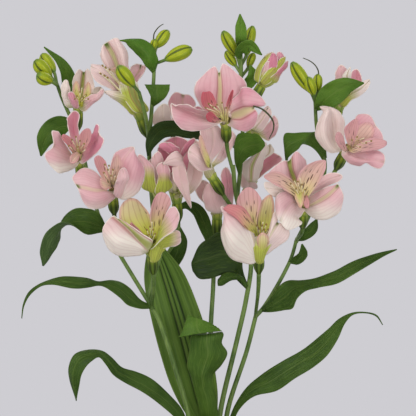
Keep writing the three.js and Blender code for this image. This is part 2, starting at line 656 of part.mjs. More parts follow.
// Leaves. Each has its line on the front view from its root to its tip, then, evenly along it, half
// its width in millimetres and the angle of its face to the viewer: 0 is full on, 90 is edge on.
const LEAVES = {
  leaf_left_upper: {
    on: "stem_1",
    line: [[104, 228, -7], [88, 222, -12], [67, 224, -17], [52, 241, -20], [43, 266, -18]],
    halves: [2, 8, 8.5, 7, 7, 5.5, 0.5],
    faces: [0, 10, 30, 80, 130, 150, 160],
  },
  leaf_left_long: {
    on: "stem_1",
    line: [[150, 308, -8], [128, 290, -13], [100, 281, -17], [60, 278, -22], [30, 292, -20], [23, 319, -16]],
    halves: [1.5, 5.5, 6.5, 7, 6.5, 4, 1, 0.6, 0.4],
    faces: [60, 45, 50, 60, 60, 60, 60, 60, 60],
  },
  leaf_left_lower: {
    on: "stem_1",
    line: [[193, 434, -5], [164, 400, -13], [130, 368, -20], [100, 350, -26], [80, 356, -29], [76, 401, -25]],
    halves: [1.5, 6, 7.5, 8, 7.5, 7, 5, 0.5],
    faces: [60, 50, 50, 45, 30, 0, 30, 40],
  },
  leaf_broad: {
    on: "stem_3",
    line: [[207, 440, 11], [198, 400, 14], [184, 345, 18], [171, 300, 18], [160, 264, 15], [153, 240, 11]],
    halves: [3, 12, 16, 17, 16, 13, 3],
    faces: [40, 20, 5, 0, 0, 0, 0],
    columns: 5,
  },
  leaf_front: {
    on: "stem_4",
    line: [[211, 440, -9], [206, 400, -15], [205, 365, -20], [211, 338, -24], [200, 320, -28],
      [178, 336, -24]],
    halves: [2, 8, 10.5, 12, 11, 8, 5, 0.5],
    faces: [50, 15, 0, 0, 0, -30, -30, -10],
    columns: 5,
  },
  leaf_right_upper: {
    on: "stem_5",
    line: [[261, 311, -4], [290, 292, -11], [325, 277, -16], [362, 264, -16], [396, 250, -10]],
    halves: [1.5, 6.5, 8, 8, 7, 5, 0.4],
    faces: [40, 30, 30, 30, 35, 50, 60],
  },
  leaf_right_lower: {
    on: "stem_5",
    line: [[225, 436, 2], [242, 400, -5], [275, 370, -14], [318, 343, -20], [350, 316, -20], [383, 323, -15]],
    halves: [1.5, 5, 7.5, 8, 7.5, 6, 2.5, 0.8, 0.4],
    faces: [40, 30, 30, 30, 35, 45, 60, 70, 70],
  },
  leaf_dark: {
    on: "stem_4",
    line: [[247, 288, 1], [234, 281, 1], [218, 272, 1], [209, 258, 0], [216, 234, -1]],
    halves: [1.5, 6, 10, 12, 11, 7, 0.6],
    faces: [50, 30, 10, 0, 0, 0, 0],
  },
  leaf_arched: {
    on: "stem_4",
    line: [[242, 152, 11], [222, 140, 16], [200, 134, 13], [176, 129, 5], [160, 131, -2],
      [151, 143, -5], [148, 156, -4]],
    halves: [1.2, 3, 4.5, 5.5, 5.5, 5, 0.6],
    faces: [60, 60, 40, 10, 0, 0, 10],
  },
  leaf_far_left: {
    on: "stem_1",
    line: [[73, 127, 10], [60, 127, 13], [46, 138, 13], [41, 156, 9]],
    halves: [1.5, 6, 8, 7, 4, 0.5],
    faces: [20, 10, 0, 0, 0, 10],
  },
  leaf_top_left: {
    on: "stem_1",
    line: [[62, 98, -2], [69, 82, 13], [62, 64, 10], [44, 47, 6]],
    halves: [1.2, 4, 5, 4, 2, 0.4],
    faces: [30, 20, 10, 10, 20, 30],
  },
  leaf_left_spray: {
    on: "stem_2",
    line: [[155, 74, -4], [151, 59, -8], [141, 49, -10], [131, 43, -9], [120, 40, -8]],
    halves: [1.2, 6.5, 7.5, 6, 3, 0.4],
    faces: [20, 0, 0, 0, 10, 20],
  },
  leaf_small_left: {
    on: "stem_2",
    line: [[153, 108, -3], [158, 99, -6], [164, 90, -7], [168, 83, -6]],
    halves: [1.2, 5.5, 6, 4, 0.6],
    faces: [10, 0, 0, 20, 40],
  },
  leaf_behind_crown: {
    on: "stem_4",
    line: [[239, 178, 6], [243, 156, 4], [250, 140, 2], [261, 143, -3], [258, 160, -5]],
    halves: [1.2, 5, 6.5, 7.5, 6, 0.6],
    faces: [50, 30, 0, 0, 10, 20],
  },
  leaf_right_folded: {
    on: "stem_5",
    line: [[325, 157, 2], [321, 145, -3], [311, 136, -8], [296, 138, -12], [288, 150, -12], [286, 164, -9]],
    halves: [1.2, 5, 6.5, 7.5, 6.5, 0.5],
    faces: [30, 20, 20, 0, 0, 0],
  },
  leaf_right_top: {
    on: "stem_5",
    line: [[318, 110, 3], [329, 97, -3], [346, 86, -5], [364, 83, -5]],
    halves: [1.2, 6, 8, 7, 4, 0.4],
    faces: [30, 10, 0, 0, 10, 20],
  },
  leaf_crown_up: {
    on: "stem_4",
    line: [[241, 50, 2], [241, 38, -1], [240, 14, 1]],
    halves: [1.2, 3.8, 3.6, 0.4],
    faces: [0, 0, 0, 0],
  },
  leaf_crown_arch: {
    on: "stem_4",
    line: [[240, 60, 2], [241, 51, -2], [249, 45, -6], [262, 55, -6]],
    halves: [1.2, 3.5, 4.5, 3, 0.4],
    faces: [50, 30, 20, 20, 30],
  },
  leaf_crown_side: {
    on: "stem_4",
    line: [[242, 90, 11], [249, 83, 4], [253, 76, 1], [250, 65, -1]],
    halves: [1.2, 3.5, 4, 0.5],
    faces: [10, 0, 0, 0],
  },
  leaf_right_small: {
    on: "stem_5",
    line: [[298, 240, 0], [304, 236, -4], [312, 229, -6], [317, 219, -4]],
    halves: [1.2, 3, 3.6, 0.5],
    faces: [20, 0, 0, 20],
  },
  leaf_right_twist: {
    on: "stem_5",
    line: [[290, 262, 0], [297, 260, -5], [303, 254, -9], [302, 244, -11]],
    halves: [1.2, 3, 3.2, 0.5],
    faces: [30, 10, 0, 20],
  },
  leaf_behind_left: {
    on: "stem_2",
    line: [[166, 276, 26], [173, 262, 22], [179, 245, 20], [177, 222, 19]],
    halves: [1.2, 5, 5.5, 0.6],
    faces: [20, 0, 0, 0],
  },
  leaf_centre_small: {
    on: "stem_3",
    line: [[213, 252, 8], [206, 228, 15], [197, 210, 18], [186, 205, 18], [176, 211, 16]],
    halves: [1.2, 3.5, 4.5, 3.5, 0.6],
    faces: [20, 0, 0, 0, 10],
  },
  leaf_rear_low: {
    on: "stem_2",
    line: [[198, 402, 18], [193, 370, 44], [189, 345, 66], [187, 335, 86], [187, 352, 104]],
    halves: [1.5, 6, 9, 9, 7, 4, 0.5],
    faces: [10, 0, 0, 10, 20, 20, 20],
  },
  leaf_rear_high: {
    on: "stem_2",
    line: [[172, 292, 26], [166, 276, 46], [162, 268, 62], [160, 280, 78]],
    halves: [1.5, 6, 8, 6, 0.5],
    faces: [10, 0, 0, 10, 10],
  },
};

// A leaf leaves its stem from the middle, and the stem grown by the seat is cut out of it.
function leafSolid({ on, line, halves, faces, columns = 3 }) {
  const points = line.map(at);
  points[0] = onStem(STEMS[on], points[0]);
  const midrib = smooth(points);
  const rows = halves.map((_, row) => {
    const share = row / (halves.length - 1);
    const ahead = midrib.getTangentAt(share);
    const level = ahead.clone().cross(AWAY).normalize();
    const deep = ahead.clone().cross(level).normalize();
    const angle = radians(faces[row]);
    const side = level.multiplyScalar(Math.cos(angle)).addScaledVector(deep, Math.sin(angle));
    return {
      centre: midrib.getPointAt(share),
      side,
      ahead,
      face: ahead.clone().cross(side).normalize(),
      half: halves[row],
      bend: LEAF_BEND,
      fold: LEAF_FOLD,
      wave: (t) => LEAF_WAVE * Math.min(1, halves[row] / 6) * Math.abs(t) * Math.sin(11 * share + 2 * t),
      lobe: () => 0,
    };
  });
  const whole = blade(rows, columns, LEAF_THICKNESS);
  const cutters = [...stemRods(STEMS[on], SEAT), ...stalks(STEMS[on], SEAT)];
  return fused([cutters.reduce((left, cutter) => left.subtract(cutter), whole)]);
}

for (const [name, leaf] of Object.entries(LEAVES)) {
  place(name, leafSolid(leaf), greenLeaf);
}

// The pot: thrown clay with a collar, drained through four holes.
function potInside(height) {
  const share = (height - POT_FLOOR) / (POT_HEIGHT - POT_FLOOR);
  return mix(POT_FOOT_RADIUS - POT_WALL, POT_RIM_RADIUS - POT_WALL, share);
}

function potSolid() {
  const collarFoot = POT_HEIGHT - COLLAR_HEIGHT;
  const wallTop = mix(POT_FOOT_RADIUS, POT_RIM_RADIUS, collarFoot / POT_HEIGHT) - COLLAR_STEP * 0.4;
  const profile = [
    [0, 0],
    [POT_FOOT_RADIUS - RIM_ROUNDING, 0],
    [POT_FOOT_RADIUS, RIM_ROUNDING],
    [wallTop, collarFoot - RIM_ROUNDING],
    [wallTop + COLLAR_STEP, collarFoot],
    [POT_RIM_RADIUS, POT_HEIGHT - RIM_ROUNDING],
    [POT_RIM_RADIUS - RIM_ROUNDING, POT_HEIGHT],
    [POT_RIM_RADIUS - POT_WALL + RIM_ROUNDING, POT_HEIGHT],
    [potInside(POT_HEIGHT - RIM_ROUNDING), POT_HEIGHT - RIM_ROUNDING],
    [potInside(POT_FLOOR), POT_FLOOR],
    [0, POT_FLOOR],
  ].map(([radius, height]) => new THREE.Vector2(radius, height));
  const turned = new THREE.LatheGeometry(profile, POT_SIDES).rotateX(Math.PI / 2);
  let solid = solidOf(turned);
  for (let hole = 0; hole < DRAIN_COUNT; hole++) {
    const turn = ((hole + 0.5) / DRAIN_COUNT) * 2 * Math.PI;
    const drill = new THREE.CylinderGeometry(DRAIN_RADIUS, DRAIN_RADIUS, POT_FLOOR * 3, DRAIN_SIDES);
    drill.rotateX(Math.PI / 2).translate(DRAIN_CIRCLE * Math.cos(turn), DRAIN_CIRCLE * Math.sin(turn), 0);
    solid = solid.subtract(solidOf(drill));
  }
  return solid;
}

// The soil fills the pot to its level, with a lumpy top and a plain hole for each stem.
function soilSolid() {
  const ring = (radius, height, lump) =>
    Array.from({ length: POT_SIDES }, (_, corner) => {
      const turn = (corner / POT_SIDES) * 2 * Math.PI;
      const rough = lump * (Math.sin(5 * turn + radius) + Math.sin(11 * turn + 2 * radius) * 0.6);
      return new THREE.Vector3(radius * Math.cos(turn), radius * Math.sin(turn), height + rough);
    });
  const bottom = POT_FLOOR + SEAT;
  const flats = Math.cos(Math.PI / POT_SIDES);
  const rings = [ring(potInside(bottom) * flats - SEAT, bottom, 0)];
  const edge = potInside(SOIL_LEVEL - 2 * SOIL_LUMP) * flats - SEAT;
  rings.push(ring(edge, SOIL_LEVEL - 2 * SOIL_LUMP, 0));
  for (const [share, rise] of [[0.8, 0.5], [0.45, 2], [0.12, 3]]) {
    rings.push(ring(edge * share, SOIL_LEVEL - 3 + rise, SOIL_LUMP * share));
  }
  let solid = solidOf(skin(rings));
  for (const stem of Object.values(STEMS)) solid = solid.subtract(stemRods(stem, SEAT)[0]);
  return solid;
}

place("pot", potSolid(), clay);
place("soil", soilSolid(), earth);

export default plant;
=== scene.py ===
# The looks of a potted peruvian lily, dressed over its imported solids.
# Metres, +Z up, the middle of the pot's underside at the origin, the blooms facing -Y.

import math
import random

import bpy
import numpy as np
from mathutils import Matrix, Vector, noise


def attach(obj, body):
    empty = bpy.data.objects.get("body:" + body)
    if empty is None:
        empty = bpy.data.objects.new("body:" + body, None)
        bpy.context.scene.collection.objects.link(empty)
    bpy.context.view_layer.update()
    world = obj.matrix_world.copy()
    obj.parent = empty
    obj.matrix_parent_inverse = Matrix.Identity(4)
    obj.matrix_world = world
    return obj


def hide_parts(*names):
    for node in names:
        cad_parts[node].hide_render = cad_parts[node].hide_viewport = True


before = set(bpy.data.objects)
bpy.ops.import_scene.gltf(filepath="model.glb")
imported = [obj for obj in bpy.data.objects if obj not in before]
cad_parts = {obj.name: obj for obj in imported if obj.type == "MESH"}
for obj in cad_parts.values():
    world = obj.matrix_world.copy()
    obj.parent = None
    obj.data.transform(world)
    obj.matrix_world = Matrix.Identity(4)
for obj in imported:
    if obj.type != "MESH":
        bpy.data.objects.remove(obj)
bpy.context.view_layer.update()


# The pot. A plain flowerpot thrown in red clay and fired without a glaze: a tapering wall, a thicker
# collar that the hands lift it by, a rounded rim and four drain holes in the foot.

MM = 0.001
POT_HEIGHT = 120 * MM
POT_FOOT_RADIUS = 50 * MM
POT_RIM_RADIUS = 70 * MM
POT_WALL = 6 * MM
POT_FLOOR = 8 * MM
COLLAR_HEIGHT = 24 * MM
COLLAR_STEP = 3 * MM
POT_ROUNDING = 1.5 * MM
POT_SIDES = 96
DRAIN_COUNT = 4
DRAIN_RADIUS = 5 * MM
DRAIN_CIRCLE = 27 * MM
DRAIN_SIDES = 32
THROWING_RIDGE = 0.12 * MM
THROWING_PITCH = 5.5 * MM


def tone(red, green, blue):
    """A colour as it looks on a screen, each part from 0 to 255, turned into light."""
    def light(part):
        share = part / 255
        return share / 12.92 if share <= 0.04045 else ((share + 0.055) / 1.055) ** 2.4
    return (light(red), light(green), light(blue), 1.0)


class Shape:
    """The surface of one piece in the making. Each point knows how far along and across it lies on
    the leaf, tepal or stem that it belongs to, and how that part is tinted."""

    FIELDS = ("along", "across", "under", "flush", "lime", "rim", "keel")

    def __init__(self):
        self.points = []
        self.faces = []
        self.slots = []
        self.fields = {name: [] for name in self.FIELDS}
        self.count = 0

    def add(self, points, faces, slot=0, **fields):
        points = np.asarray(points, float).reshape(-1, 3)
        self.points.append(points)
        for name in self.FIELDS:
            self.fields[name].append(np.broadcast_to(fields.get(name, 0.0), len(points)).ravel())
        for face in faces:
            self.faces.append([corner + self.count for corner in face])
            self.slots.append(slot)
        self.count += len(points)

    def piece(self, name, *materials):
        mesh = bpy.data.meshes.new(name)
        mesh.from_pydata(np.concatenate(self.points).tolist(), [], self.faces)
        for field, parts in self.fields.items():
            layer = mesh.attributes.new(field, "FLOAT", "POINT")
            layer.data.foreach_set("value", np.concatenate(parts).astype(np.float32))
        for material in materials:
            mesh.materials.append(material)
        mesh.polygons.foreach_set("material_index", self.slots)
        mesh.polygons.foreach_set("use_smooth", [True] * len(self.faces))
        mesh.update()
        obj = bpy.data.objects.new(name, mesh)
        bpy.context.scene.collection.objects.link(obj)
        return obj


def circle(sides):
    """The angles of points spread evenly round."""
    return np.linspace(0, 2 * math.pi, sides, endpoint=False)


def ring(radius, height, sides):
    """Points spread evenly round the pot's axis."""
    return [(radius * math.cos(turn), radius * math.sin(turn), height) for turn in circle(sides)]


def ring_faces(rings, sides):
    """The faces between rings of points. Seen from outside, a ring runs to the left of the way on."""
    faces = []
    for here in range(0, (rings - 1) * sides, sides):
        above = here + sides
        for side in range(sides):
            beside = (side + 1) % sides
            faces.append((here + side, above + side, above + beside, here + beside))
    return faces


def closed_faces(rings, sides):
    """The faces of a body whose rings run to the right of the way on, with a lid on both ends."""
    faces = [face[::-1] for face in ring_faces(rings, sides)]
    faces.append(list(range(sides))[::-1])
    faces.append([(rings - 1) * sides + corner for corner in range(sides)])
    return faces


class Finish:
    """A material in the making: a principled shader and the nodes that drive its colour."""

    def __init__(self, name, roughness, specular, sheen=0.0, through=0.0):
        self.material = bpy.data.materials.new(name)
        self.material.use_nodes = True
        self.nodes = self.material.node_tree.nodes
        self.links = self.material.node_tree.links
        self.shader = self.nodes["Principled BSDF"]
        self.shader.inputs["Roughness"].default_value = roughness
        self.shader.inputs["Specular IOR Level"].default_value = specular
        self.shader.inputs["Sheen Weight"].default_value = sheen
        self.through = None
        if through:
            self.through = self.nodes.new("ShaderNodeBsdfTranslucent")
            mixer = self.nodes.new("ShaderNodeMixShader")
            mixer.inputs["Fac"].default_value = through
            self.links.new(self.shader.outputs[0], mixer.inputs[1])
            self.links.new(self.through.outputs[0], mixer.inputs[2])
            self.links.new(mixer.outputs[0], self.nodes["Material Output"].inputs["Surface"])

    def put(self, socket, value):
        if isinstance(value, bpy.types.NodeSocket):
            self.links.new(value, socket)
        else:
            socket.default_value = value

    def field(self, name):
        node = self.nodes.new("ShaderNodeAttribute")
        node.attribute_name = name
        return node.outputs["Fac"]

    def fields(self, *names):
        return [self.field(name) for name in names]

    def math(self, operation, first, second=0.0, clamp=False):
        node = self.nodes.new("ShaderNodeMath")
        node.operation = operation
        node.use_clamp = clamp
        self.put(node.inputs[0], first)
        self.put(node.inputs[1], second)
        return node.outputs[0]

    def times(self, first, second, clamp=False):
        return self.math("MULTIPLY", first, second, clamp)

    def plus(self, first, second):
        return self.math("ADD", first, second)

    def rise(self, value, low, high):
        """From 0 where value is low to 1 where it is high, smoothly."""
        node = self.nodes.new("ShaderNodeMapRange")
        node.interpolation_type = "SMOOTHSTEP"
        self.put(node.inputs["Value"], value)
        node.inputs["From Min"].default_value = low
        node.inputs["From Max"].default_value = high
        return node.outputs["Result"]

    def mix(self, share, first, second):
        node = self.nodes.new("ShaderNodeMix")
        node.data_type = "RGBA"
        self.put(node.inputs["Factor"], share)
        self.put(node.inputs["A"], first)
        self.put(node.inputs["B"], second)
        return next(socket for socket in node.outputs if socket.type == "RGBA")

    def places(self, x_scale=1.0, y_scale=1.0, z_scale=1.0):
        """The point's own place, stretched."""
        coordinates = self.nodes.new("ShaderNodeTexCoord")
        mapping = self.nodes.new("ShaderNodeMapping")
        mapping.inputs["Scale"].default_value = (x_scale, y_scale, z_scale)
        self.links.new(coordinates.outputs["Object"], mapping.inputs["Vector"])
        return mapping.outputs["Vector"]

    def vector(self, x, y, z=0.0):
        node = self.nodes.new("ShaderNodeCombineXYZ")
        for socket, value in zip(node.inputs, (x, y, z)):
            self.put(socket, value)
        return node.outputs[0]

    def cloud(self, vector, scale, detail, roughness=0.5):
        node = self.nodes.new("ShaderNodeTexNoise")
        self.links.new(vector, node.inputs["Vector"])
        node.inputs["Scale"].default_value = scale
        node.inputs["Detail"].default_value = detail
        node.inputs["Roughness"].default_value = roughness
        return node.outputs["Fac"]

    def cells(self, vector, scale):
        node = self.nodes.new("ShaderNodeTexVoronoi")
        self.links.new(vector, node.inputs["Vector"])
        node.inputs["Scale"].default_value = scale
        return node

    def bump(self, height, distance, strength=1.0):
        node = self.nodes.new("ShaderNodeBump")
        node.inputs["Distance"].default_value = distance
        node.inputs["Strength"].default_value = strength
        self.links.new(height, node.inputs["Height"])
        self.links.new(node.outputs[0], self.shader.inputs["Normal"])

    def coloured(self, colour):
        self.links.new(colour, self.shader.inputs["Base Color"])
        if self.through:
            self.links.new(colour, self.through.inputs["Color"])
        return self.material


def fired_clay():
    finish = Finish("fired clay", roughness=0.88, specular=0.25)
    place = finish.places()
    clouds = finish.cloud(place, 22, detail=5)
    grain = finish.cloud(place, 900, detail=2)
    body = finish.mix(finish.rise(clouds, 0.3, 0.7), tone(166, 92, 62), tone(196, 122, 88))
    speckled = finish.mix(finish.rise(grain, 0.62, 0.75), body, tone(120, 66, 46))
    lime_bloom = finish.cloud(finish.places(1, 1, 0.4), 38, detail=6, roughness=0.65)
    whitened = finish.times(finish.rise(lime_bloom, 0.56, 0.74), 0.45)
    bloomed = finish.mix(whitened, speckled, tone(214, 190, 170))
    heights = finish.plus(finish.times(grain, 0.6), clouds)
    finish.bump(heights, distance=0.25 * MM, strength=0.6)
    return finish.coloured(bloomed)


def pot_inside(height):
    share = (height - POT_FLOOR) / (POT_HEIGHT - POT_FLOOR)
    return (POT_FOOT_RADIUS - POT_WALL) + share * (POT_RIM_RADIUS - POT_FOOT_RADIUS)


def pot_outline():
    """The pot's section, from the middle of the underside round the rim to the middle of the floor."""
    collar_foot = POT_HEIGHT - COLLAR_HEIGHT
    wall_top = POT_FOOT_RADIUS + (POT_RIM_RADIUS - POT_FOOT_RADIUS) * collar_foot / POT_HEIGHT
    wall_top -= COLLAR_STEP * 0.4
    outline = [(radius * POT_FOOT_RADIUS, 0.0) for radius in (0.02, 0.3, 0.75, 0.955)]
    outline += [(POT_FOOT_RADIUS, POT_ROUNDING)]
    wall_steps = 40
    for step in range(1, wall_steps):
        share = step / wall_steps
        height = POT_ROUNDING + share * (collar_foot - 2 * POT_ROUNDING)
        radius = POT_FOOT_RADIUS + share * (wall_top - POT_FOOT_RADIUS)
        ridge = THROWING_RIDGE * math.sin(2 * math.pi * height / THROWING_PITCH)
        outline.append((radius - THROWING_RIDGE + ridge, height))
    outline += [
        (wall_top, collar_foot - POT_ROUNDING),
        (wall_top + COLLAR_STEP * 0.5, collar_foot - 0.3 * MM),
        (wall_top + COLLAR_STEP * 0.9, collar_foot + 0.4 * MM),
    ]
    collar_steps = 10
    for step in range(1, collar_steps):
        share = step / collar_steps
        height = collar_foot + POT_ROUNDING + share * (COLLAR_HEIGHT - 2.6 * POT_ROUNDING)
        outline.append((wall_top + COLLAR_STEP + share * (POT_RIM_RADIUS - wall_top - COLLAR_STEP), height))
    rim_middle = POT_RIM_RADIUS - POT_WALL / 2
    rim_steps = 8
    for step in range(rim_steps + 1):
        turn = math.pi * step / rim_steps
        flat = POT_WALL / 2 * math.cos(turn)
        outline.append((rim_middle + flat, POT_HEIGHT - POT_ROUNDING * (1 - math.sin(turn))))
    for height in (100 * MM, 70 * MM, 40 * MM, POT_FLOOR + 2 * MM):
        outline.append((pot_inside(height), height))
    for radius in (pot_inside(POT_FLOOR) - 2 * MM, 0.4 * POT_FOOT_RADIUS, 0.02 * POT_FOOT_RADIUS):
        outline.append((radius, POT_FLOOR))
    return outline


def turned(outline, sides):
    """A closed body turned about the pot's axis from its section."""
    shape = Shape()
    rings = [ring(radius, height, sides) for radius, height in outline]
    shape.add(rings, closed_faces(len(rings), sides))
    return shape


def drilled(piece, radius, height, spots):
    """The piece with plain round holes up through it."""
    cutters = []
    for x, y in spots:
        bpy.ops.mesh.primitive_cylinder_add(
            vertices=DRAIN_SIDES, radius=radius, depth=height, location=(x, y, 0))
        cutters.append(bpy.context.object)
        cut = piece.modifiers.new("drill", "BOOLEAN")
        cut.object = cutters[-1]
        cut.operation = "DIFFERENCE"
        cut.solver = "EXACT"
    graph = bpy.context.evaluated_depsgraph_get()
    mesh = bpy.data.meshes.new_from_object(piece.evaluated_get(graph))
    piece.modifiers.clear()
    piece.data = mesh
    for cutter in cutters:
        bpy.data.objects.remove(cutter)


pot = turned(pot_outline(), POT_SIDES).piece("flowerpot", fired_clay())
drain_turns = [2 * math.pi * (hole + 0.5) / DRAIN_COUNT for hole in range(DRAIN_COUNT)]
drain_spots = [(DRAIN_CIRCLE * math.cos(turn), DRAIN_CIRCLE * math.sin(turn)) for turn in drain_turns]
drilled(pot, DRAIN_RADIUS, 3 * POT_FLOOR, drain_spots)
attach(pot, "root")
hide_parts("pot")


# The soil. Moist peat and bark with a little white perlite, pressed down by hand and left lumpy on
# top. It fills the pot to about 11 mm under the rim, and the stems stand in it.

SOIL_LEVEL = 109 * MM
SOIL_GAP = 0.35 * MM
SOIL_LUMP = 1.3 * MM
SOIL_RINGS = 46
SOIL_SIDES = 150
SOIL_WAVES = 90
CRUMB_COUNT = 420
CRUMB_SIZES = (0.7 * MM, 2.2 * MM)
PERLITE_EVERY = 9
PEAT, BARK, PERLITE = range(3)


def soil_finish(name, dark, pale, roughness=0.95):
    finish = Finish(name, roughness=roughness, specular=0.2)
    place = finish.places()
    damp = finish.cloud(place, 240, detail=6, roughness=0.7)
    finish.bump(finish.cloud(place, 900, detail=4), distance=0.5 * MM)
    return finish.coloured(finish.mix(finish.rise(damp, 0.35, 0.7), dark, pale))


def soil_height(x, y):
    lump = noise.fractal(Vector((x, y, 0.0)) * SOIL_WAVES, 1.0, 2.0, 4)
    return SOIL_LEVEL + SOIL_LUMP * lump


def soil_body(shape):
    """A ring on the pot's floor, then rings over the lumpy top from the wall to the middle."""
    rings = [ring(pot_inside(POT_FLOOR) - 1 * MM, POT_FLOOR + SOIL_GAP, SOIL_SIDES)]
    edge = pot_inside(SOIL_LEVEL) - SOIL_GAP
    for step in range(SOIL_RINGS):
        radius = edge * (1 - step / SOIL_RINGS) + 0.2 * MM
        rings.append([(x, y, soil_height(x, y)) for x, y, _ in ring(radius, 0, SOIL_SIDES)])
    shape.add(rings, closed_faces(len(rings), SOIL_SIDES))


def crumb(shape, draw, centre, size, slot):
    """A rough grain: a point above, a point below and two rings of five corners between."""
    corners = [(0, 0, 1)]
    for height, shift in ((0.45, 0.0), (-0.45, 0.6)):
        reach = math.sqrt(1 - height * height)
        corners += [
            (reach * math.cos(turn + shift), reach * math.sin(turn + shift), height)
            for turn in circle(5)
        ]
    corners.append((0, 0, -1))
    stretch = [draw.uniform(0.6, 1.2) for _ in range(3)]
    points = [
        [centre[k] + corner[k] * size * stretch[k] * draw.uniform(0.8, 1.15) for k in range(3)]
        for corner in corners
    ]
    faces = []
    for k in range(5):
        beside = (k + 1) % 5
        faces += [(0, 1 + k, 1 + beside), (1 + k, 6 + k, 1 + beside), (1 + beside, 6 + k, 6 + beside)]
        faces.append((11, 6 + beside, 6 + k))
    shape.add(points, faces, slot)


def soil_shape():
    draw = random.Random(5)
    shape = Shape()
    soil_body(shape)
    reach = pot_inside(SOIL_LEVEL) - 3 * MM
    for k in range(CRUMB_COUNT):
        radius = reach * math.sqrt(draw.random())
        turn = draw.uniform(0, 2 * math.pi)
        x, y = radius * math.cos(turn), radius * math.sin(turn)
        size = draw.uniform(*CRUMB_SIZES) * draw.uniform(0.6, 1)
        slot = PERLITE if k % PERLITE_EVERY == 0 else draw.choice((PEAT, BARK))
        crumb(shape, draw, (x, y, soil_height(x, y) + 0.2 * size), size, slot)
    return shape


peat = soil_finish("peat", tone(38, 27, 20), tone(70, 52, 38))
bark = soil_finish("bark crumbs", tone(64, 42, 28), tone(110, 80, 56))
perlite = soil_finish("perlite", tone(196, 190, 178), tone(226, 222, 212), roughness=0.9)
soil = soil_shape().piece("potting_soil", peat, bark, perlite)
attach(soil, "root")
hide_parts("soil")


# The stems. Five green stems under 4 mm thick, rooted in the soil. Each branches near its top into
# thin stalks. A stalk swells to a six-ribbed green ovary that carries a bloom, or ends in a closed
# bud. Where each bloom stands is told here already, because its stalk leads there.

# Places in the plant are read on the front view, in squares across and down and in millimetres
# behind the plane of the stems.
VIEW_SQUARE = 0.65 * MM
VIEW_MIDDLE = 208
EYE_DISTANCE = 1.2
EYE_HEIGHT = 0.27
ROOT_DEPTH = 35 * MM
STEM_RADII = (1.8 * MM, 1.4 * MM)
SHOOT_RADII = (1.4 * MM, 1.15 * MM)
STALK_RADIUS = 1.15 * MM
OVARY_RADIUS = 3.25 * MM
OVARY_LENGTH = 12 * MM
OVARY_SWELLING = (0.36, 0.62, 0.86, 0.98, 1.0, 0.98, 0.95, 0.93)
BUD_NECK_RADII = (1.0 * MM, 1.1 * MM)
BUD_SWELLING = (0.28, 0.5, 0.68, 0.82, 0.92, 0.98, 1.0, 1.0, 0.95, 0.84, 0.64, 0.26)
STRAND_RADII = (0.45 * MM, 0.4 * MM, 0.25 * MM)
GROUND = 110 * MM
STEM_SIDES = 16
STEM_SKIN, OVARY_SKIN, BUD_SKIN, DRY_SKIN = range(4)
RING_STEP = 1.6 * MM


def at(across, down, depth):
    """The point that the viewer sees at a place on the front view."""
    square = VIEW_SQUARE * (1 + depth * MM / EYE_DISTANCE)
    x = (across - VIEW_MIDDLE) * square
    return np.array([x, depth * MM, EYE_HEIGHT + (VIEW_MIDDLE - down) * square])


def unit(vectors):
    vectors = np.asarray(vectors, float)
    return vectors / np.linalg.norm(vectors, axis=-1, keepdims=True)


def walked(line):
    """How far along a line each of its points lies."""
    return np.concatenate([[0], np.cumsum(np.linalg.norm(np.diff(line, axis=0), axis=1))])


def even(line, count):
    """A line of points with its length shared out evenly."""
    line = np.asarray(line, float)
    run = walked(line)
    places = np.linspace(0, run[-1], count)
    return np.stack([np.interp(places, run, line[:, k]) for k in range(3)], axis=1)


def length_of(line):
    return float(np.linalg.norm(np.diff(line, axis=0), axis=1).sum())


def smooth(points, count=0, step=RING_STEP):
    """Even points on a smooth line through the given ones, which bends most where they are close."""
    points = [np.asarray(point, float) for point in points]
    ends = [2 * points[0] - points[1], *points, 2 * points[-1] - points[-2]]
    line = []
    for k in range(len(points) - 1):
        a, b, c, d = ends[k:k + 4]
        ab, bc, cd = (math.sqrt(np.linalg.norm(q - p)) for p, q in ((a, b), (b, c), (c, d)))
        leave = ((b - a) / ab - (c - a) / (ab + bc) + (c - b) / bc) * bc
        arrive = ((c - b) / bc - (d - b) / (bc + cd) + (d - c) / cd) * bc
        for share in np.linspace(0, 1, 25)[:-1]:
            square, cube = share ** 2, share ** 3
            line.append(
                b * (2 * cube - 3 * square + 1) + leave * (cube - 2 * square + share)
                + c * (3 * square - 2 * cube) + arrive * (cube - square)
            )
    line.append(points[-1])
    return even(line, count or max(4, int(length_of(line) / step)))


def ways_across(line):
    """Two ways across a line at each of its points, which turn no more than they must."""
    ahead = unit(np.gradient(line, axis=0))
    helper = np.array([0.0, 1.0, 0.0]) if abs(ahead[0][1]) < 0.9 else np.array([1.0, 0.0, 0.0])
    side = [unit(np.cross(ahead[0], helper))]
    for way in ahead[1:]:
        side.append(unit(side[-1] - way * np.dot(side[-1], way)))
    side = np.array(side)
    return side, np.cross(ahead, side)


def tube(shape, line, radii, slot=STEM_SKIN, sides=STEM_SIDES, ribs=3, ridge=0.0, groove=0.0):
    """A round rod along a line. It can have ribs, and sharp grooves between them."""
    line = np.asarray(line, float)
    rows = len(line)
    radii = np.interp(np.linspace(0, 1, rows), np.linspace(0, 1, len(radii)), radii)
    side, over = ways_across(line)
    turns = circle(sides)
    wave = np.cos(ribs * turns)
    reach = radii[:, None] * (1 + ridge * wave - groove * np.clip(-wave - 0.75, 0, 1) * 4)[None, :]
    points = line[:, None] + reach[..., None] * (
        np.cos(turns)[None, :, None] * side[:, None] + np.sin(turns)[None, :, None] * over[:, None]
    )
    along = np.repeat(np.linspace(0, 1, rows), sides)
    shape.add(points, closed_faces(rows, sides), slot, along=along, across=np.tile(wave, rows))


def bow(corners, count):
    """Points on the curve that four corners give."""
    a, b, c, d = (np.asarray(corner, float) for corner in corners)
    share = np.linspace(0, 1, count)[:, None]
    rest = 1 - share
    return rest ** 3 * a + 3 * rest * rest * share * b + 3 * rest * share * share * c + share ** 3 * d


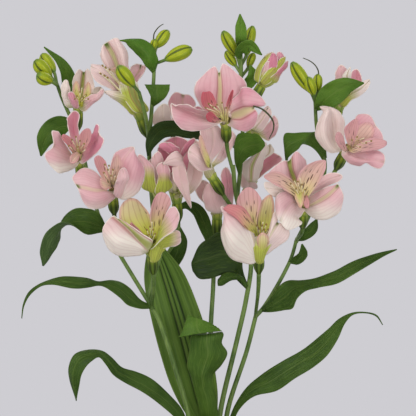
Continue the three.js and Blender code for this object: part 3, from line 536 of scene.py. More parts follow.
UP = np.array([0.0, 0.0, 1.0])


def rising(facing):
    """The way a bloom's tube leaves the ovary: steeper than the bloom faces."""
    return unit(unit(facing) + 0.5 * UP)


# Each bloom: the place of its foot, and the way its tube leaves the ovary.
FEET = {
    "bloom_crown": (at(226, 128, -18), rising((-0.05, -0.88, 0.45))),
    "bloom_left": (at(80, 166, -10), rising((-0.1, -0.85, 0.5))),
    "bloom_left_middle": (at(113, 199, -26), rising((-0.05, -0.8, 0.6))),
    "bloom_lower_left": (at(152, 257, -34), unit((-0.05, -0.4, 0.9))),
    "bloom_lower_middle": (at(259, 256, -34), unit((0, -0.35, 0.94))),
    "bloom_right_middle": (at(303, 214, -24), rising((0, -0.85, 0.5))),
    "bloom_right": (at(343, 156, -6), rising((0.45, -0.75, 0.45))),
    "bloom_centre": (at(214, 180, -8), unit((-0.5, -0.35, 0.8))),
    "bloom_back_left": (at(176, 134, 22), rising((0, 0.15, 1))),
    "bloom_nodding": (at(177, 204, 6), rising((-0.1, -0.2, 1))),
    "bloom_inner": (at(217, 220, 10), rising((0, -0.1, 1))),
    "bloom_back_right": (at(248, 189, 24), rising((0.45, -0.1, 0.86))),
    "bloom_back_top": (at(250, 138, 16), rising((0.4, 0, 0.9))),
    "bloom_far_left": (at(78, 113, 0), rising((0.1, -0.2, 1))),
    "bloom_top_left": (at(141, 120, 2), rising((-0.5, -0.3, 0.8))),
    "bloom_top_right": (at(338, 111, 14), rising((0.4, 0, 0.9))),
    "bloom_inner_left": (at(160, 202, -4), rising((-0.2, -0.3, 0.95))),
}
OPENING_FOOT = at(261, 87, 3)
OPENING_TIP = at(279, 57, 3)
FEET["bud_opening"] = (OPENING_FOOT, unit(OPENING_TIP - OPENING_FOOT))

# Each stem: its foot in the soil in millimetres, its main line, its side shoots, the forks of its
# blooms' stalks, its dry threads, and its closed buds by fork, foot, tip and radius in millimetres.
STEMS = {}
STEMS["stem_1"] = dict(
    foot=(-11, -4),
    line=[(188,414,-5), (178,377,-5), (158,318,-5), (153,309,-5)],
    shoots=[
        [(153,309,-5), (120,255,-6), (103,225,-5), (97,210,0), (87,172,4)],
        [(87,172,4), (82,150,8), (74,125,6), (70,116,3), (62,98,-2), (57,84,-4)],
        [(117,250,-6), (117,232,-12)],
    ],
    blooms={
        "bloom_left": (88,178,4),
        "bloom_far_left": (73,122,5),
        "bloom_left_middle": (117,246,-7),
        "bloom_lower_left": (154,306,-5),
        "bloom_inner_left": (154,298,-5),
    },
    buds=[
        ((57,84,-4), (54,72,-1), (42,54,3), 4.4),
        ((57,84,-4), (51,77,-5), (35,60,-7), 4.8),
        ((58,86,-4), (52,82,-9), (37,75,-15), 4.4),
    ],
)
STEMS["stem_2"] = dict(
    foot=(-6, 12),
    strands=[[(153.5,40,-1), (154,34,-1), (157,29,-1), (160,26,-1), (163.5,24,-1)]],
    line=[(198,400,18), (185,340,26), (168,280,26), (156,230,20), (150,175,12), (149,140,4)],
    shoots=[
        [(149,142,4), (152,105,0), (154,72,-1), (154,58,-2)],
        [(149,140,4), (146,118,-14), (139,92,-24)],
    ],
    blooms={
        "bloom_top_left": (148,150,6),
        "bloom_back_left": (152,190,14),
        "bloom_nodding": (163,262,24),
    },
    buds=[
        ((154,60,-2), (156,48,-1), (168.5,30.5,2), 4.0),
        ((154,64,-2), (165,60,-4), (192,48.5,-6), 4.8),
        ((154,60,-2), (153,50,-4), (155,39,-6), 2.4),
        ((139,92,-24), (134,86,-26), (118,66,-30), 4.6),
    ],
)
STEMS["stem_3"] = dict(
    foot=(0.5, 4),
    line=[(209,414,3), (211,323,4), (213,290,5), (214,262,7), (214,248,8)],
    shoots=[],
    blooms={"bloom_inner": (214,250,8)},
    buds=[],
)
STEMS["stem_4"] = dict(
    foot=(6, -3),
    line=[(220,414,-1), (237,340,0), (246,300,1), (251,262,2), (244,225,2), (236,195,0), (233,165,-2)],
    shoots=[
        [(237,200,0), (241,160,10), (243,110,12), (241,78,10)],
        [(241,80,10), (241,60,8), (240,44,6)],
    ],
    blooms={
        "bloom_crown": (233,176,-2),
        "bloom_centre": (240,220,1),
        "bloom_back_right": (240,208,1),
        "bloom_back_top": (242,150,11),
        "bud_opening": (243,118,12),
    },
    buds=[
        ((241,70,9), (237,56,8), (223,31,4), 4),
        ((241,66,9), (246,56,10), (253,26,12), 3.8),
        ((241,74,9), (236,66,12), (226,51,14), 3.2),
        ((242,76,10), (248,68,12), (254,53,15), 2.8),
    ],
)
STEMS["stem_5"] = dict(
    foot=(11.5, 3),
    strands=[[(319,76,5), (318,70,5), (315,65,4), (310,61,3), (303,58,2)]],
    line=[(227,414,2), (247,350,1), (256,315,0)],
    shoots=[
        [(256,316,0), (264,307,0), (290,261,0), (297,238,0)],
        [(296,242,0), (306,222,8), (320,190,10), (325,165,6), (317,130,4), (315,100,2)],
    ],
    blooms={
        "bloom_lower_middle": (256,317,0),
        "bloom_right_middle": (296,240,0),
        "bloom_right": (322,185,10),
        "bloom_top_right": (318,135,5),
    },
    buds=[
        ((315,102,2), (311,92,0), (292,62,-3), 4.4),
        ((315,102,2), (314,95,-1), (308,77,-5), 3.8),
        ((315,100,2), (318,92,4), (318,74,6), 3.2),
    ],
)


def grown_lines(stem):
    """A stem from its root up, and its side shoots."""
    x, y = (value * MM for value in stem["foot"])
    root, ground = np.array([x, y, SOIL_LEVEL - ROOT_DEPTH]), np.array([x, y, GROUND])
    lines = [smooth([root, ground, *(at(*spot) for spot in stem["line"])])]
    return lines + [smooth([at(*spot) for spot in shoot]) for shoot in stem["shoots"]]


def on_stem(lines, spot):
    """The point of the stem's lines that is nearest to a spot."""
    points = np.concatenate(lines)
    return points[np.argmin(np.linalg.norm(points - spot, axis=1))]


def stalk(shape, lines, bloom, fork):
    """The thin stalk from a fork of the stem to a bloom, and the ovary that it ends in."""
    foot, up = FEET[bloom]
    start = on_stem(lines, at(*fork))
    bottom = foot - up * OVARY_LENGTH
    pull = np.linalg.norm(bottom - start) * 0.4
    corners = (start, start + (bottom - start) * 0.35, bottom - up * pull, bottom)
    tube(shape, bow(corners, 32), [STALK_RADIUS, STALK_RADIUS, STALK_RADIUS * 1.25])
    ovary = [foot - up * OVARY_LENGTH * (1.02 - 1.04 * share) for share in np.linspace(0, 1, 22)]
    radii = [OVARY_RADIUS * size for size in OVARY_SWELLING]
    tube(shape, ovary, radii, OVARY_SKIN, sides=48, ribs=6, ridge=0.09, groove=0.05)


def bud(shape, fork, start, tip, radius):
    """A closed bud between two places, and the neck that joins it to its fork."""
    fork, start, tip = at(*fork), at(*start), at(*tip)
    middle = (start + tip) / 2
    whole = smooth([fork, start, middle, tip], count=48)
    neck = np.argmin(np.linalg.norm(whole - start, axis=1))
    tube(shape, whole[:neck + 2], BUD_NECK_RADII, sides=10)
    body = even(whole[neck:], 30)
    radii = [radius * MM * size for size in BUD_SWELLING]
    tube(shape, body, radii, BUD_SKIN, sides=36, ribs=3, ridge=0.07, groove=0.2)


def green_skin():
    """The waxy skin of stems and stalks."""
    finish = Finish("stem skin", roughness=0.45, specular=0.25)
    place = finish.places()
    fine = finish.cloud(finish.places(1, 1, 0.12), 900, detail=3)
    patches = finish.cloud(place, 60, detail=3)
    base = finish.mix(finish.rise(patches, 0.35, 0.65), tone(66, 92, 36), tone(100, 124, 58))
    streaked = finish.mix(finish.times(finish.rise(fine, 0.5, 0.7), 0.35), base, tone(140, 160, 84))
    finish.bump(fine, distance=0.15 * MM, strength=0.5)
    return finish.coloured(streaked)


def ovary_skin():
    """The ribbed ovary: dark green ribs, and lighter between them, yellower towards the bloom."""
    finish = Finish("ovary skin", roughness=0.5, specular=0.2)
    ribs = finish.rise(finish.field("across"), -0.9, 0.6)
    towards_bloom = finish.rise(finish.field("along"), 0.55, 1.0)
    base = finish.mix(ribs, tone(88, 110, 34), tone(50, 66, 16))
    top = finish.mix(ribs, tone(150, 164, 50), tone(96, 118, 30))
    mottled = finish.cloud(finish.places(), 700, detail=3)
    finish.bump(mottled, distance=0.15 * MM, strength=0.4)
    return finish.coloured(finish.mix(towards_bloom, base, top))


def bud_skin():
    """A closed bud: three lime tepals whose edges meet in dark seams, and a greener tip."""
    finish = Finish("bud skin", roughness=0.42, specular=0.25, through=0.12)
    across, along = finish.fields("across", "along")
    seam = finish.rise(across, -0.72, -0.93)
    streaks = finish.cloud(finish.vector(finish.times(across, 6.0), along), 3.0, detail=3)
    lime = finish.mix(finish.rise(streaks, 0.35, 0.7), tone(138, 154, 20), tone(182, 190, 40))
    ridge = finish.mix(finish.times(finish.rise(across, 0.6, 1.0), 0.6), lime, tone(112, 136, 24))
    tip = finish.mix(finish.rise(along, 0.82, 1.0), ridge, tone(104, 132, 44))
    foot = finish.mix(finish.rise(along, 0.16, 0.0), tip, tone(104, 138, 52))
    finish.bump(streaks, distance=0.15 * MM, strength=0.5)
    return finish.coloured(finish.mix(finish.times(seam, 0.85), foot, tone(58, 76, 20)))


def dry_thread():
    finish = Finish("dry thread", roughness=0.6, specular=0.3)
    grain = finish.cloud(finish.places(), 900, detail=2)
    finish.bump(grain, distance=0.1 * MM)
    return finish.coloured(finish.mix(grain, tone(40, 44, 26), tone(74, 78, 44)))


stem_skin, ovary_green, bud_green, dried = green_skin(), ovary_skin(), bud_skin(), dry_thread()
STEM_LINES = {}
for stem_name, stem in STEMS.items():
    shape = Shape()
    lines = grown_lines(stem)
    STEM_LINES[stem_name] = lines
    for place, line in enumerate(lines):
        tube(shape, line, STEM_RADII if place == 0 else SHOOT_RADII)
    for bloom, fork in stem["blooms"].items():
        stalk(shape, lines, bloom, fork)
    for row in stem["buds"]:
        bud(shape, *row)
    for spots in stem.get("strands", ()):
        tube(shape, smooth([at(*spot) for spot in spots]), STRAND_RADII, DRY_SKIN, sides=8)
    piece = shape.piece(stem_name + "_grown", stem_skin, ovary_green, bud_green, dried)
    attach(piece, "root")
    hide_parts(stem_name)


# The leaves. Each is one thin green blade with veins that run side by side from foot to tip, a
# waxy upper face and a paler lower one. It grows out of its stem by a narrow foot and then bends
# over under its own weight.

LEAF_THICKNESS = 0.55 * MM
LEAF_WAVE = 1.2 * MM
LEAF_BEND = 0.25
LEAF_FOLD = 0.1
LEAF_COLUMNS = 17
# Painted light and shade of a leaf whose own value is not given.
LEAF_LIT = 0.15
PLEAT_COLUMNS = 8
LEAF_PLEAT = 0.4 * MM
LEAF_STEP = 1.5 * MM
AWAY = np.array([0.0, 1.0, 0.0])

# Each leaf: its stem, its painted light and shade, from the shaded green at 0 to the lit green at 1
# and darker still below 0, how many pleats it has, its midrib from foot to tip, then evenly along it
# half its width in millimetres and the angle of its face to the viewer, 0 full on and 90 edge on. A
# leaf that folds over or turns has rows of places instead, each from its clockwise edge over its
# midrib to its other edge, and its flap, where the fold shows its other half, with painted light and
# shade of its own.
LEAVES = {}
LEAVES["leaf_left_upper"] = dict(
    stem="stem_1", line=[(104,228,-7), (88,222,-12), (67,224,-17), (52,241,-20), (43,266,-18)],
    halves=[2, 8, 8.5, 7, 7, 5.5, 0.5], faces=[0, 10, 30, 80, 130, 150, 160],
)
LEAVES["leaf_left_long"] = dict(
    stem="stem_1", lit=0.1, rows=[
        ((149,306,-7), (150,308,-8), (150,310,-8)),
        ((139,298.5,-7), (138,304,-10), (138.5,308.5,-13)),
        ((129.5,288,-8), (128,297,-12), (127,305,-15)),
        ((121,281.8,-10), (120.5,290,-14), (120.5,298,-17)),
        ((111,280,-13), (110,285,-16), (109,289.5,-18)),
        ((98,281.3,-16), (98.5,283.5,-17), (99.5,285.8,-18)),
        ((88,278,-18), (88,283,-20), (88,287.7,-22)),
        ((70,276.3,-19), (71,283,-22), (72,288.3,-24)),
        ((51,279.2,-19), (51,282,-21), (51,284.8,-22)),
        ((39,284,-20), (40.3,285,-20.5), (41.5,286.2,-21)),
        ((28.5,292,-20), (29.5,293.3,-20), (30.5,294.8,-20)),
        ((23,304,-18), (23.6,305,-18), (24.3,306,-18)),
        ((21.4,317.5,-16), (21.8,318.5,-16), (22.2,318.5,-16)),
    ],
)
LEAVES["leaf_left_lower"] = dict(
    stem="stem_1", lit=0.1, rows=[
        ((194,432,-3), (193,434,-5), (191,436,-6)),
        ((181,408,-6), (178,413,-9), (175,418,-11)),
        ((166,391,-9), (161.5,397,-12), (157,402,-15)),
        ((150,378,-12), (145,386,-16), (141,391.5,-19)),
        ((135,371,-15), (129,378,-19), (125,382.5,-22)),
        ((121.5,367,-18), (117,371,-21), (113,374.5,-24)),
        ((111,357,-21), (108,361,-24), (105.5,364.5,-26)),
        ((103,351,-23), (101,354,-25), (99.5,357.5,-27)),
        ((89,349.3,-25), (90,355,-28), (92,361,-29)),
        ((75,354,-27), (79,359,-30), (86,367,-30)),
        ((69,367,-27), (74,370,-30), (81.5,375,-29)),
        ((69.5,380,-26), (73,382,-28), (79.5,385,-28)),
        ((73,391.5,-25), (75.2,392.3,-26), (78,392.5,-26)),
        ((76,400,-25), (76.3,401,-25), (76.6,400,-25)),
    ],
)
LEAVES["leaf_broad"] = dict(
    stem="stem_3", lit=0.3, pleats=4,
    line=[(207,440,11), (198,400,14), (184,345,18), (171,300,18), (160,264,15), (153,240,11)],
    halves=[3, 12, 16, 17, 16, 13, 3], faces=[40, 20, 5, 0, 0, 0, 0],
)
LEAVES["leaf_front"] = dict(
    stem="stem_4", lit=0.25, flap_lit=0.5, rows=[
        ((217,440,-9), (211,440,-9), (205,440,-9)),
        ((218.2,416,-12), (209,416,-15), (200.5,416,-12)),
        ((217.2,401,-14), (207,401,-18), (196.5,400,-14)),
        ((213,386,-17), (203,386,-20), (193.5,386,-16)),
        ((213.5,375,-18), (202,375,-22), (189.5,374,-18)),
        ((222,364,-19), (205,364,-23), (187.2,366,-19)),
        ((227.4,352.3,-20), (208,354,-25), (188.5,356,-20)),
        ((222,343,-22), (207,345,-26), (189.5,347,-22)),
        ((223.5,334,-23), (207,336,-26), (190.5,338,-23)),
        ((222,332,-22), (207,333.5,-24), (192,335,-22)),
    ],
    flap=[
        ((222,331,-26), (211,332,-28), (200,333.5,-29), (189,335.5,-28), (178.5,337.5,-26)),
        ((217,327,-25), (207,327,-26), (197,327.5,-27), (189,328,-26), (182,331,-25)),
        ((211,323.5,-24), (204,320.5,-24), (197,318,-24), (191,316,-24), (188,315,-24)),
    ],
)
LEAVES["leaf_right_upper"] = dict(
    stem="stem_5", lit=0.15, rows=[
        ((262,312.5,-5), (261,311,-4), (260,309,-4)),
        ((270,312.3,-8), (267,308,-6), (265.5,304,-4)),
        ((284,310.3,-12), (278,302,-9), (273,294.5,-6)),
        ((293,308.3,-15), (286,296.5,-11), (280,285.5,-7)),
        ((297,299,-16), (292.5,290,-12), (288,280.6,-8)),
        ((304,291.8,-16), (302,286,-13), (300,280,-10)),
        ((318,288,-18), (317,283,-15), (316,278,-12)),
        ((334,284.5,-19), (332.5,278.3,-16), (331,272.3,-13)),
        ((352,275.6,-19), (350.5,269.5,-16), (349,263.2,-13)),
        ((370,264.5,-17), (369,260,-15), (368,255.8,-13)),
        ((386,255.2,-13), (385,253.3,-12), (384,251.4,-12)),
        ((397,250,-10), (396.8,249.5,-10), (396.4,249,-10)),
    ],
)
LEAVES["leaf_right_lower"] = dict(
    stem="stem_5", lit=0.15, rows=[
        ((227,438,1), (225,436,2), (224,434,2)),
        ((241,407.5,-5), (238.5,405,-3), (236,403,-1)),
        ((255,396,-9), (251.5,390.5,-6), (248,386,-3)),
        ((276,391,-14), (269,382,-10), (262,374,-6)),
        ((296,378,-17), (289.5,369,-13), (283,361,-9)),
        ((314,366.5,-19), (308,358,-15), (302,349.8,-11)),
        ((328,354.7,-20), (322.5,346.5,-17), (317,338.5,-13)),
        ((338,339,-20), (333,333.5,-18), (328.5,328.8,-16)),
        ((345,323.5,-20), (342,320.5,-19), (339.5,318.3,-18)),
        ((352.5,315.3,-20), (351.8,314,-20), (351,312.8,-20)),
        ((365,313.4,-18), (365,312.6,-18), (365,311.8,-18)),
        ((376,316.6,-16), (376.5,315.8,-16), (377,315,-16)),
        ((382.4,325.2,-15), (382.7,325,-15), (383,324.6,-15)),
    ],
)
LEAVES["leaf_dark"] = dict(
    stem="stem_4", lit=-0.5, flap_lit=0.1, rows=[
        ((248,286,1), (247,288,1), (246,289,1)),
        ((243,270,3), (240,274,3), (236,279,3)),
        ((240,245,2), (238,258,3), (234,274,2)),
        ((222,232,0), (224,254,2), (222,275,1)),
        ((209,238,-1), (209,258,1), (208,279,0)),
        ((198,247,-1), (198,261,0), (198,278,0)),
        ((191.5,262,0), (191.3,265,0), (192.5,271,0)),
    ],
    flap=[
        ((248,285,-1), (247,287,-1), (246,289,-1)),
        ((240,275,-2), (239,277,-3), (238,280,-2)),
        ((231,272.5,-3), (231,277,-4), (230,281,-3)),
        ((223,274,-3), (223,280,-4), (223,285.5,-3)),
        ((218,279,-2), (217.5,283,-3), (218,286,-2)),
    ],
)
LEAVES["leaf_arched"] = dict(
    stem="stem_4", lit=-0.6,
    line=[(242,152,11), (222,140,16), (200,134,13), (176,129,5), (160,131,-2), (151,143,-5), (148,156,-4)],
    halves=[1.2, 3, 4.5, 5.5, 5.5, 5, 0.6], faces=[60, 60, 40, 10, 0, 0, 10],
)
LEAVES["leaf_far_left"] = dict(
    stem="stem_1", lit=0.4, line=[(73,127,10), (60,127,13), (46,138,13), (41,156,9)],
    halves=[1.5, 6, 8, 7, 4, 0.5], faces=[20, 10, 0, 0, 0, 10],
)
LEAVES["leaf_top_left"] = dict(
    stem="stem_1", lit=0.5, line=[(62,98,-2), (69,82,13), (62,64,10), (44,47,6)],
    halves=[1.2, 4, 5, 4, 2, 0.4], faces=[30, 20, 10, 10, 20, 30],
)
LEAVES["leaf_left_spray"] = dict(
    stem="stem_2", lit=0.9, rows=[
        ((156.5,72,-4), (155,74,-4), (153.5,74,-4)),
        ((158,59,-6), (151,62,-8), (145,65,-6)),
        ((154,48,-7), (146,53,-10), (138.5,56,-7)),
        ((147,41,-8), (138,46,-11), (131,49,-8)),
        ((135,38.5,-8), (130,41,-10), (126,43,-8)),
        ((121,40,-8), (119.5,40.5,-8), (121,41,-8)),
    ],
)
LEAVES["leaf_small_left"] = dict(
    stem="stem_2", lit=0.35, rows=[
        ((155,108,-3), (153,108,-3), (152,107,-3)),
        ((165,98,-6), (157,99,-5), (150.5,96,-6)),
        ((169,91,-7), (157,91,-5), (147,89,-7)),
        ((170,84.5,-7), (157,84.5,-6), (144.5,84.5,-7)),
    ],
)
LEAVES["leaf_behind_crown"] = dict(
    stem="stem_4", lit=0.5, rows=[
        ((240,179,6), (239,178,6), (238,177,6)),
        ((242,165,3), (238,160,4), (234,154,5)),
        ((248,158,0), (245,148,2), (238,134,3)),
        ((255,154.5,-2), (255,145,-1), (252,133.5,1)),
        ((262,150,-3), (262,144,-3), (260,136,-1)),
        ((265,146,-3), (265,144.5,-3), (264.5,142,-2)),
    ],
)
LEAVES["leaf_right_folded"] = dict(
    stem="stem_5", lit=0.45, rows=[
        ((328,158,2), (325,157,2), (324,161,2)),
        ((325,146,-2), (320,148,-3), (315,150,-2)),
        ((316.5,132,-5), (310,138,-8), (304,144,-6)),
        ((312,132,-8), (307,138,-11), (302,145,-9)),
        ((296,133,-11), (297,141,-13), (297,150,-12)),
        ((284.5,134,-12), (287,147,-13), (291,155,-12)),
        ((284.5,150,-11), (285.5,158,-10), (288,159,-11)),
        ((286,162.5,-9), (286.3,163,-9), (287,162.5,-9)),
    ],
)
LEAVES["leaf_right_top"] = dict(
    stem="stem_5", lit=0.6, line=[(318,110,3), (329,97,-3), (346,86,-5), (364,83,-5)],
    halves=[1.2, 6, 8, 7, 4, 0.4], faces=[30, 10, 0, 0, 10, 20],
)
LEAVES["leaf_crown_up"] = dict(
    stem="stem_4", lit=0.8, line=[(241,50,2), (241,38,-1), (240,14,1)],
    halves=[1.2, 3.8, 3.6, 0.4], faces=[0, 0, 0, 0],
)
LEAVES["leaf_crown_arch"] = dict(
    stem="stem_4", lit=0.7, line=[(240,60,2), (241,51,-2), (249,45,-6), (262,55,-6)],
    halves=[1.2, 3.5, 4.5, 3, 0.4], faces=[50, 30, 20, 20, 30],
)
LEAVES["leaf_crown_side"] = dict(
    stem="stem_4", lit=0.7, line=[(242,90,11), (249,83,4), (253,76,1), (250,65,-1)],
    halves=[1.2, 3.5, 4, 0.5], faces=[10, 0, 0, 0],
)
LEAVES["leaf_right_small"] = dict(
    stem="stem_5", line=[(298,240,0), (304,236,-4), (312,229,-6), (317,219,-4)],
    halves=[1.2, 3, 3.6, 0.5], faces=[20, 0, 0, 20],
)
LEAVES["leaf_right_twist"] = dict(
    stem="stem_5", line=[(290,262,0), (297,260,-5), (303,254,-9), (302,244,-11)],
    halves=[1.2, 3, 3.2, 0.5], faces=[30, 10, 0, 20],
)
LEAVES["leaf_behind_left"] = dict(
    stem="stem_2", line=[(166,276,26), (173,262,22), (179,245,20), (177,222,19)],
    halves=[1.2, 5, 5.5, 0.6], faces=[20, 0, 0, 0],
)
LEAVES["leaf_centre_small"] = dict(
    stem="stem_3", line=[(213,252,8), (206,228,15), (197,210,18), (186,205,18), (176,211,16)],
    halves=[1.2, 3.5, 4.5, 3.5, 0.6], faces=[20, 0, 0, 0, 10],
)
LEAVES["leaf_rear_low"] = dict(
    stem="stem_2", line=[(198,402,18), (193,370,44), (189,345,66), (187,335,86), (187,352,104)],
    halves=[1.5, 6, 9, 9, 7, 4, 0.5], faces=[10, 0, 0, 10, 20, 20, 20],
)
LEAVES["leaf_rear_high"] = dict(
    stem="stem_2", line=[(172,292,26), (166,276,46), (162,268,62), (160,280,78)],
    halves=[1.5, 6, 8, 6, 0.5], faces=[10, 0, 0, 10, 10],
)


def flowing(values, shares):
    """Values given evenly along a line, read at shares of it on a curve without corners."""
    values = np.asarray(values, float)
    places = np.asarray(shares) * (len(values) - 1)
    left = np.clip(places.astype(int), 0, len(values) - 2)
    share = places - left
    slopes = np.gradient(values)
    a, b = values[left], values[left + 1]
    curve = (
        a * (2 * share ** 3 - 3 * share ** 2 + 1) + slopes[left] * (share ** 3 - 2 * share ** 2 + share)
        + b * (3 * share ** 2 - 2 * share ** 3) + slopes[left + 1] * (share ** 3 - share ** 2)
    )
    return np.clip(curve, min(values.min(), 0), values.max())


def facing_of(sheet):
    """The way that a sheet of points faces at each of them."""
    return unit(np.cross(np.gradient(sheet, axis=0), np.gradient(sheet, axis=1)) + 1e-12)


def swelled(shape, sheet, thickness, slot=0, **fields):
    """A thin closed blade round a sheet of points, thinner towards its edges. fields are per point."""
    rows, columns = sheet.shape[:2]
    normal = facing_of(sheet)
    edge = np.abs(np.linspace(-1, 1, columns))
    depth = thickness / 2 * (0.35 + 0.65 * np.sqrt(1 - edge ** 4 * 0.96))[None, :, None]
    around = np.concatenate([sheet + normal * depth, (sheet - normal * depth)[:, ::-1]], axis=1)
    faces = ring_faces(rows, 2 * columns)
    for column in range(columns - 1):
        here = (column, column + 1, 2 * columns - 2 - column, 2 * columns - 1 - column)
        faces.append(here)
        faces.append([(rows - 1) * 2 * columns + corner for corner in reversed(here)])
    both = {}
    for name, values in fields.items():
        values = np.broadcast_to(values, (rows, columns))
        both[name] = np.concatenate([values, values[:, ::-1]], axis=1).ravel()
    both["under"] = np.tile(np.repeat([0.0, 1.0], columns), rows)
    shape.add(around, faces, slot, **both)


def through(lines, places, shares):
    """The lines that lie at given shares in a smooth run of lines."""
    slopes = np.gradient(lines, places, axis=0)
    left = np.clip(np.searchsorted(places, shares, side="right") - 1, 0, len(places) - 2)
    upright = (-1,) + (1,) * (lines.ndim - 1)
    run = (places[left + 1] - places[left]).reshape(upright)
    share = ((shares - places[left]).reshape(upright)) / run
    square, cube = share ** 2, share ** 3
    return (
        lines[left] * (2 * cube - 3 * square + 1) + slopes[left] * run * (cube - 2 * square + share)
        + lines[left + 1] * (3 * square - 2 * cube) + slopes[left + 1] * run * (cube - square)
    )


def crossed(rows, across):
    """Rows of places on the front view, each read at the same shares across."""
    lines = []
    for row in rows:
        spots = np.array([at(*spot) for spot in row])
        lines.append(through(spots, np.linspace(-1, 1, len(spots)), across))
    return np.array(lines)


def laid_leaf(rows, foot, columns, seed):
    """A leaf through rows of places, each from its clockwise edge over its midrib to its other edge."""
    across = np.linspace(-1, 1, columns)
    lines = crossed(rows, across)
    centre = columns // 2
    if foot is not None:
        lines[0] += foot - lines[0][centre]
    run = walked(lines[:, centre])
    share = np.linspace(0, 1, int(run[-1] / LEAF_STEP) + 8)
    sheet = through(lines, run / run[-1], share)
    normal = facing_of(sheet)
    across = across[None, :]
    broad = np.linalg.norm(sheet[:, :1] - sheet[:, centre:centre + 1], axis=2) / (5 * MM)
    wave = 0.35 * across ** 2 * np.sin(26 * share[:, None] + 3 * across + seed)
    rib = 0.3 * np.exp(-(across / 0.09) ** 2)
    rise = (wave - rib) * MM * np.minimum(1, 6 * share[:, None]) * np.minimum(1, broad ** 2)
    return sheet + normal * rise[..., None], share[:, None], across


def pleated(across, pleats):
    """How deep in a groove each place across lies, from 0 on a ridge to 1."""
    wander = across + 0.07 * np.sin(9 * across + 1)
    depth = 0.65 + 0.35 * np.sin(4 * across + 2)
    return (0.5 - 0.5 * np.cos(2 * math.pi * pleats * wander)) * depth * (pleats > 0)


def leaf_sheet(points, halves, faces, columns, pleats, seed):
    """A leaf along its midrib, with its halves bent, rippled and pleated."""
    midrib = smooth(points, step=LEAF_STEP)
    share = np.linspace(0, 1, len(midrib))
    across = np.linspace(-1, 1, columns)
    ahead = unit(np.gradient(midrib, axis=0))
    level = unit(np.cross(ahead, AWAY))
    deep = np.cross(ahead, level)
    angle = np.radians(flowing(faces, share))[:, None]
    side = level * np.cos(angle) + deep * np.sin(angle)
    face = np.cross(ahead, side)
    half = flowing(halves, share)[:, None] * MM
    bent = LEAF_BEND * across[None, :]
    flat = half * np.sin(bent) / LEAF_BEND
    share = share[:, None]
    ripple = LEAF_WAVE * np.minimum(1, half / (6 * MM)) * np.abs(across) * np.sin(11 * share + 2 * across)
    fine = 0.35 * MM * across ** 2 * np.sin(34 * share + 3 * across + seed) * np.minimum(1, half / (4 * MM))
    rib = -0.25 * MM * np.exp(-(across / 0.09) ** 2) * np.minimum(1, half / (5 * MM))
    fold = -2 * LEAF_PLEAT * pleated(across, pleats) * np.minimum(1, half / (8 * MM))
    raised = half * (1 - np.cos(bent)) / LEAF_BEND + ripple + fine + rib + fold
    hand = np.sign(across)
    reach = flat * math.cos(LEAF_FOLD) - hand * raised * math.sin(LEAF_FOLD)
    lift = raised * math.cos(LEAF_FOLD) + hand * flat * math.sin(LEAF_FOLD)
    sheet = midrib[:, None] + side[:, None] * reach[..., None] + face[:, None] * lift[..., None]
    return sheet, share, across[None, :]


def leaf_skin():
    finish = Finish("leaf skin", roughness=0.45, specular=0.16, through=0.12)
    across, along, under, tint, fold = finish.fields("across", "along", "under", "flush", "lime")
    stretched = finish.vector(finish.times(across, 9.0), finish.times(along, 1.6))
    wander = finish.times(finish.cloud(stretched, 1.2, detail=2), 0.9)
    lines = finish.math("SINE", finish.times(finish.plus(across, wander), 48.0))
    veins = finish.rise(lines, 0.1, 1.0)
    patches = finish.cloud(finish.places(), 45, detail=4)
    # Painted light and shade: a shaded and a lit copy of the leaf green, mixed by how lit the leaf is painted
    # (its flush field).
    dark = finish.mix(finish.rise(patches, 0.3, 0.7), tone(36, 58, 16), tone(56, 82, 30))
    lit = finish.mix(finish.rise(patches, 0.3, 0.7), tone(70, 112, 26), tone(104, 144, 44))
    body = finish.mix(tint, dark, lit)
    veined = finish.mix(finish.times(veins, 0.35), body, tone(110, 138, 56))
    # Painted highlight and painted shade on the pleats: the ridges are painted lighter and the deep grooves
    # dark.
    ridge_highlight = finish.mix(finish.times(finish.rise(fold, 0.0, 0.3), 0.55), tone(98, 128, 50), veined)
    pleats = finish.rise(fold, 0.001, 0.01)
    groove_shade = finish.mix(finish.times(finish.rise(fold, 0.45, 0.85), 0.85),
                         finish.mix(pleats, veined, ridge_highlight), tone(24, 42, 10))
    middle = finish.rise(finish.math("ABSOLUTE", across), 0.07, 0.0)
    ribbed = finish.mix(finish.times(middle, 0.4), groove_shade, tone(112, 132, 64))
    rim = finish.rise(finish.math("ABSOLUTE", across), 0.93, 1.0)
    edged = finish.mix(finish.times(rim, 0.4), ribbed, tone(118, 136, 66))
    lower = finish.mix(veins, tone(64, 88, 44), tone(90, 112, 62))
    # Painted shade: a leaf painted below 0 is darkened further towards near black.
    deep = finish.times(finish.rise(tint, 0.0, -1.0), 0.8)
    finish.bump(veins, distance=0.18 * MM, strength=0.6)
    return finish.coloured(finish.mix(deep, finish.mix(under, edged, lower), tone(18, 32, 6)))


leaf_green = leaf_skin()
for seed, (leaf_name, leaf) in enumerate(LEAVES.items()):
    shape = Shape()
    pleats = leaf.get("pleats", 0)
    columns = LEAF_COLUMNS + PLEAT_COLUMNS * pleats
    # The leaf's painted light and shade, and its flap's, reach the skin through the flush field.
    lit = leaf.get("lit", LEAF_LIT)
    stem_lines = STEM_LINES[leaf["stem"]]
    if "rows" in leaf:
        foot = on_stem(stem_lines, at(*leaf["rows"][0][1]))
        sheets = [(laid_leaf(leaf["rows"], foot, columns, seed), lit)]
    else:
        points = [at(*spot) for spot in leaf["line"]]
        points[0] = on_stem(stem_lines, points[0])
        sheets = [(leaf_sheet(points, leaf["halves"], leaf["faces"], columns, pleats, seed), lit)]
    if "flap" in leaf:
        sheets.append((laid_leaf(leaf["flap"], None, columns, seed), leaf["flap_lit"]))
    for (sheet, share, across), flush in sheets:
        swelled(shape, sheet, LEAF_THICKNESS, along=share, across=across, flush=flush,
                lime=pleated(across, pleats))
    piece = shape.piece(leaf_name + "_blade", leaf_green)
    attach(piece, "root")
    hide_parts(leaf_name)


# The blooms. Six silky tepals on a short cup: three broad ones outside, notched at the end round a
# green point, and three narrow ones inside, yellow and flecked with maroon. Six thread-like stamens
# and a style lie in the throat.

